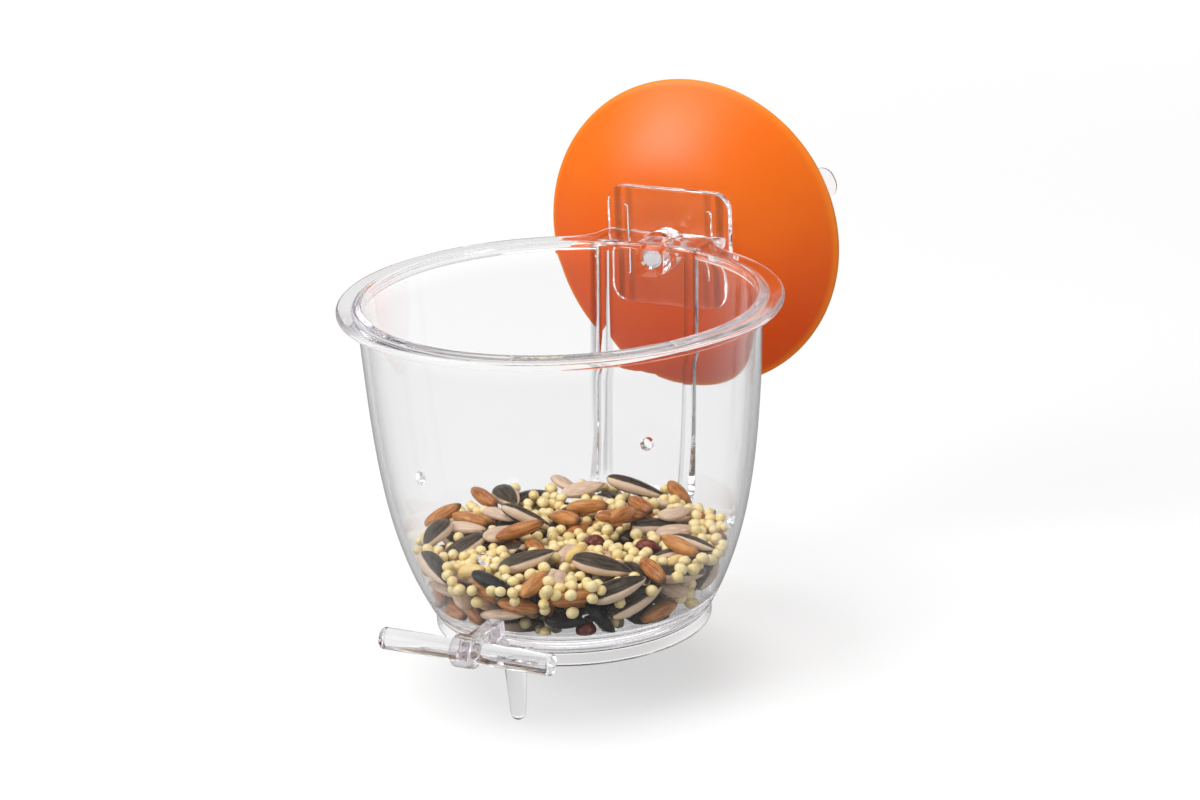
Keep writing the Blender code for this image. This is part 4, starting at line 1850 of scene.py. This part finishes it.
                    # Painted shade by depth between the seeds
                    vert[painted_shade] = self.depth(vert.co, level)
            bmesh.ops.transform(shape, matrix=self.cup.place(), verts=shape.verts[:])
            mesh = bpy.data.meshes.new(kind.name.lower())
            shape.to_mesh(mesh)
            shape.free()
            bpy.data.meshes.remove(template)
            pieces.append(show(
                mesh, f"seed_{kind.name.lower()}", "cup", "seed_fill", looks[kind],
                self.sharp))
        return pieces


# The studio


@dataclass(frozen=True)
class Lamp:
    """A soft lamp that points at the cup."""

    name: str
    spot: Triple
    size: float
    power: float
    colour: Colour = (1.0, 1.0, 1.0)

    def build(self, target: Vector) -> None:
        """Hang the lamp.

        Args:
            target: What it points at.
        """
        light = bpy.data.lights.new(self.name, "AREA")
        light.shape = "SQUARE"
        light.size = self.size
        light.energy = self.power
        light.color = self.colour
        lamp = bpy.data.objects.new(self.name, light)
        lamp.location = self.spot
        lamp.rotation_euler = (target - Vector(self.spot)).to_track_quat("-Z", "Y").to_euler()
        bpy.context.scene.collection.objects.link(lamp)


@dataclass
class Studio:
    """White floor and surroundings, soft lamps and the camera."""

    floor_z: float = -0.0852
    floor_size: float = 3.0
    floor_tone: Colour = (0.46, 0.46, 0.46)
    floor_mirrored: Colour = (0.25, 0.25, 0.25)
    floor_dim: Span = (0.10, 0.30, 0.45, 0.0)
    floor_glow: Span = (0.15, 1.20, 0.53, 0.81)
    sky: Span = (0.30, 0.95, 1.0, 0.75)
    room: Span = (0.10, 0.90, 0.05, 0.30)
    fill: float = 0.36
    lamps: tuple[Lamp, ...] = (
        Lamp("key_lamp", (-0.62, -0.90, 0.62), 0.70, 9.8),
        Lamp("top_lamp", (-0.08, -0.14, 1.05), 0.80, 7.0),
        Lamp("side_lamp", (0.95, -0.35, 0.30), 0.30, 1.5),
    )
    lamp_target: Triple = (0.0, -0.06, -0.02)
    bounces: int = 64
    sensor: float = 36.0
    photo_px: float = 1200.0
    focal_px: float = 3300.0
    azimuth: float = math.radians(27.534)
    elevation: float = math.radians(18.361)
    roll: float = math.radians(-2.372)
    aside: float = 0.00774
    below: float = -0.02435
    distance: float = 0.72629

    def world(self) -> None:
        """Make the surroundings: white through clear plastic, and a grey room in reflections."""
        world = bpy.data.worlds.new("studio")
        bpy.context.scene.world = world
        world.use_nodes = True
        world.node_tree.nodes.clear()
        board = Board(world.node_tree)
        up = board.split(board.put("ShaderNodeTexCoord").outputs["Generated"])[2]
        path = board.put("ShaderNodeLightPath").outputs
        level = board.mix(path["Is Transmission Ray"], self.fill, board.ramp(up, *self.sky))
        level = board.mix(board.mirrored(path), level, board.ramp(up, *self.room))
        level = board.mix(path["Is Camera Ray"], level, 1.0)
        shine = board.put("ShaderNodeBackground", {"Color": (1.0, 1.0, 1.0, 1.0), "Strength": level})
        board.put("ShaderNodeOutputWorld", {0: shine.outputs[0]})

    def floor(self) -> None:
        """Lay the white floor, which keeps the object's shadow."""
        shape = bmesh.new()
        bmesh.ops.create_grid(
            shape, x_segments=1, y_segments=1, size=self.floor_size,
            matrix=Matrix.Translation((0.0, 0.0, self.floor_z)))
        mesh = bpy.data.meshes.new("floor")
        shape.to_mesh(mesh)
        shape.free()
        made, board = new_material("floor_white")
        path = board.put("ShaderNodeLightPath").outputs
        reach = board.put(
            "ShaderNodeVectorMath", {0: board.place()}, operation="LENGTH").outputs["Value"]
        bounced = board.sum("MINIMUM", path["Glossy Depth"], 1.0)
        dim = board.sum("MULTIPLY", bounced, board.ramp(reach, *self.floor_dim))
        seen = board.sum("MAXIMUM", path["Is Camera Ray"], path["Is Transmission Ray"])
        seen = board.sum("MULTIPLY", seen, board.sum("SUBTRACT", 1.0, dim))
        tone = board.blend(board.mirrored(path), self.floor_tone, self.floor_mirrored)
        matt = board.put("ShaderNodeBsdfDiffuse", {"Color": tone})
        glow = board.put("ShaderNodeEmission", {
            "Strength": board.sum("MULTIPLY", seen, board.ramp(reach, *self.floor_glow))})
        both = board.put("ShaderNodeAddShader", {0: matt.outputs[0], 1: glow.outputs[0]})
        board.put("ShaderNodeOutputMaterial", {"Surface": both.outputs[0]})
        mesh.materials.append(made)
        floor = bpy.data.objects.new("floor", mesh)
        bpy.context.scene.collection.objects.link(floor)

    def camera(self, cup: Cup) -> None:
        """Set the camera where the photographer stood.

        Args:
            cup: The cup, whose axis and rim the camera's place is measured from.
        """
        a, e = self.azimuth, self.elevation
        back = Vector((math.sin(a) * math.cos(e), -math.cos(a) * math.cos(e), math.sin(e)))
        right = Vector((math.cos(a), math.sin(a), 0.0))
        up = back.cross(right)
        c, s = math.cos(self.roll), math.sin(self.roll)
        turned = Matrix((right * c + up * s, up * c - right * s, back)).transposed()
        spot = cup.place().translation + right * self.aside + Vector((0.0, 0.0, self.below))
        spot += back * self.distance
        data = bpy.data.cameras.new("camera")
        data.sensor_fit = "HORIZONTAL"
        data.sensor_width = self.sensor
        data.lens = self.sensor * self.focal_px / self.photo_px
        data.clip_start = 0.01
        camera = bpy.data.objects.new("camera", data)
        camera.matrix_world = Matrix.Translation(spot) @ turned.to_4x4()
        bpy.context.scene.collection.objects.link(camera)
        bpy.context.scene.camera = camera

    def build(self, cup: Cup) -> None:
        """Set up the studio.

        Args:
            cup: The cup, which the camera looks at.
        """
        scene = bpy.context.scene
        scene.view_settings.view_transform = "Standard"
        scene.cycles.max_bounces = self.bounces
        scene.cycles.transmission_bounces = self.bounces
        scene.cycles.glossy_bounces = self.bounces
        self.world()
        self.floor()
        self.camera(cup)
        for lamp in self.lamps:
            lamp.build(Vector(self.lamp_target))


HUSKS = {
    SeedKind.SUNFLOWER: Husk(
        "husk_sunflower", (0.125, 0.093, 0.064), (0.003, 0.003, 0.003), (0.30, 0.22, 0.14),
        edge=(0.78, 0.59, 0.43), edge_start=0.74, edge_end=0.86, tip_start=0.90, spread=0.35,
        streaks=3.0, rough=0.34, sheen=0.12),
    SeedKind.HULL: Husk(
        "husk_pale", (0.86, 0.68, 0.52), (0.56, 0.38, 0.26), (0.42, 0.28, 0.16),
        spread=0.35, streaks=2.5, rough=0.40),
    SeedKind.GRAIN: Husk(
        "husk_grain", (0.74, 0.34, 0.095), (0.30, 0.085, 0.016), (0.06, 0.028, 0.012),
        tip_start=0.66, spread=0.45, streaks=2.2, rough=0.24, sheen=0.35),
    SeedKind.BLACK: Husk(
        "husk_black", (0.032, 0.030, 0.028), (0.004, 0.004, 0.004), (0.02, 0.018, 0.016),
        spread=0.3, streaks=3.0, rough=0.26, sheen=0.15),
    SeedKind.KERNEL: Husk(
        "husk_kernel", (0.92, 0.72, 0.34), (0.78, 0.50, 0.15), (0.62, 0.34, 0.08),
        spread=0.3, streaks=2.0, rough=0.30, sheen=0.3),
    SeedKind.BERRY: Husk(
        "husk_berry", (0.24, 0.045, 0.022), (0.09, 0.010, 0.008), (0.04, 0.010, 0.008),
        spread=0.5, streaks=2.0, rough=0.22, sheen=0.35),
    SeedKind.MILLET: Husk(
        "husk_millet", (0.98, 0.86, 0.52), (0.90, 0.69, 0.28), (0.46, 0.26, 0.08),
        tip_start=0.93, spread=0.45, streaks=1.2, rough=0.26, sheen=0.45, relief=0.12),
}


def main() -> None:
    """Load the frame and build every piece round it."""
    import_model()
    effects = Effects()
    cup, foot, perch = Cup(), Foot(), Perch()
    stud, disc, pad = Stud(), Disc(), Pad()
    Studio().build(cup)
    # Painted shade lines at the back panel's outer and inner upright edges, with their weights
    painted_shade_lines = ((cup.panel_half, 0.8), (cup.panel_half_in, 0.45))
    # The cup keeps the default brow: painted light on its rim
    cup.build(stud, ClearPlastic("clear_cup", painted_shade_lines=painted_shade_lines).material(effects))
    # Each clear part's edge colour is its painted shade at glancing angles
    foot.build(cup, perch, ClearPlastic(
        "clear_foot", tint=(0.99, 0.99, 0.99), edge=(0.70, 0.70, 0.71), depth=10.0).material(effects))
    perch.build_bracket(cup, foot, ClearPlastic(
        "clear_perch", brow=(0.80, 0.77, 0.79), brow_gloss=0.07, brow_z=(-0.0720, -0.0680),
        depth=40.0).material(effects))
    perch.build_rod(cup, ClearPlastic(
        "clear_rod", tint=(0.85, 0.85, 0.855), edge=(0.38, 0.38, 0.39), waves=110.0).material(effects))
    stud.build(cup, disc, ClearPlastic(
        "clear_stud", tint=(0.74, 0.73, 0.75), brow=(0.74, 0.73, 0.75), gloss=0.08).material(effects))
    disc.build(stud, cup, Silicone().material(effects))
    pad.build(ClearPlastic(
        "clear_pad", tint=(0.97, 0.94, 0.93), brow=(0.97, 0.94, 0.93), gloss=0.22, brow_gloss=0.22,
        ior=1.42).material(effects))
    heap = Heap(cup)
    heap.build({kind: husk.material(effects) for kind, husk in HUSKS.items()})
    LOG.info("seed heap: %d seeds", len(heap.seeds))


if __name__ == "__main__":
    logging.basicConfig(level=logging.INFO, format="%(name)s: %(message)s")
    main()
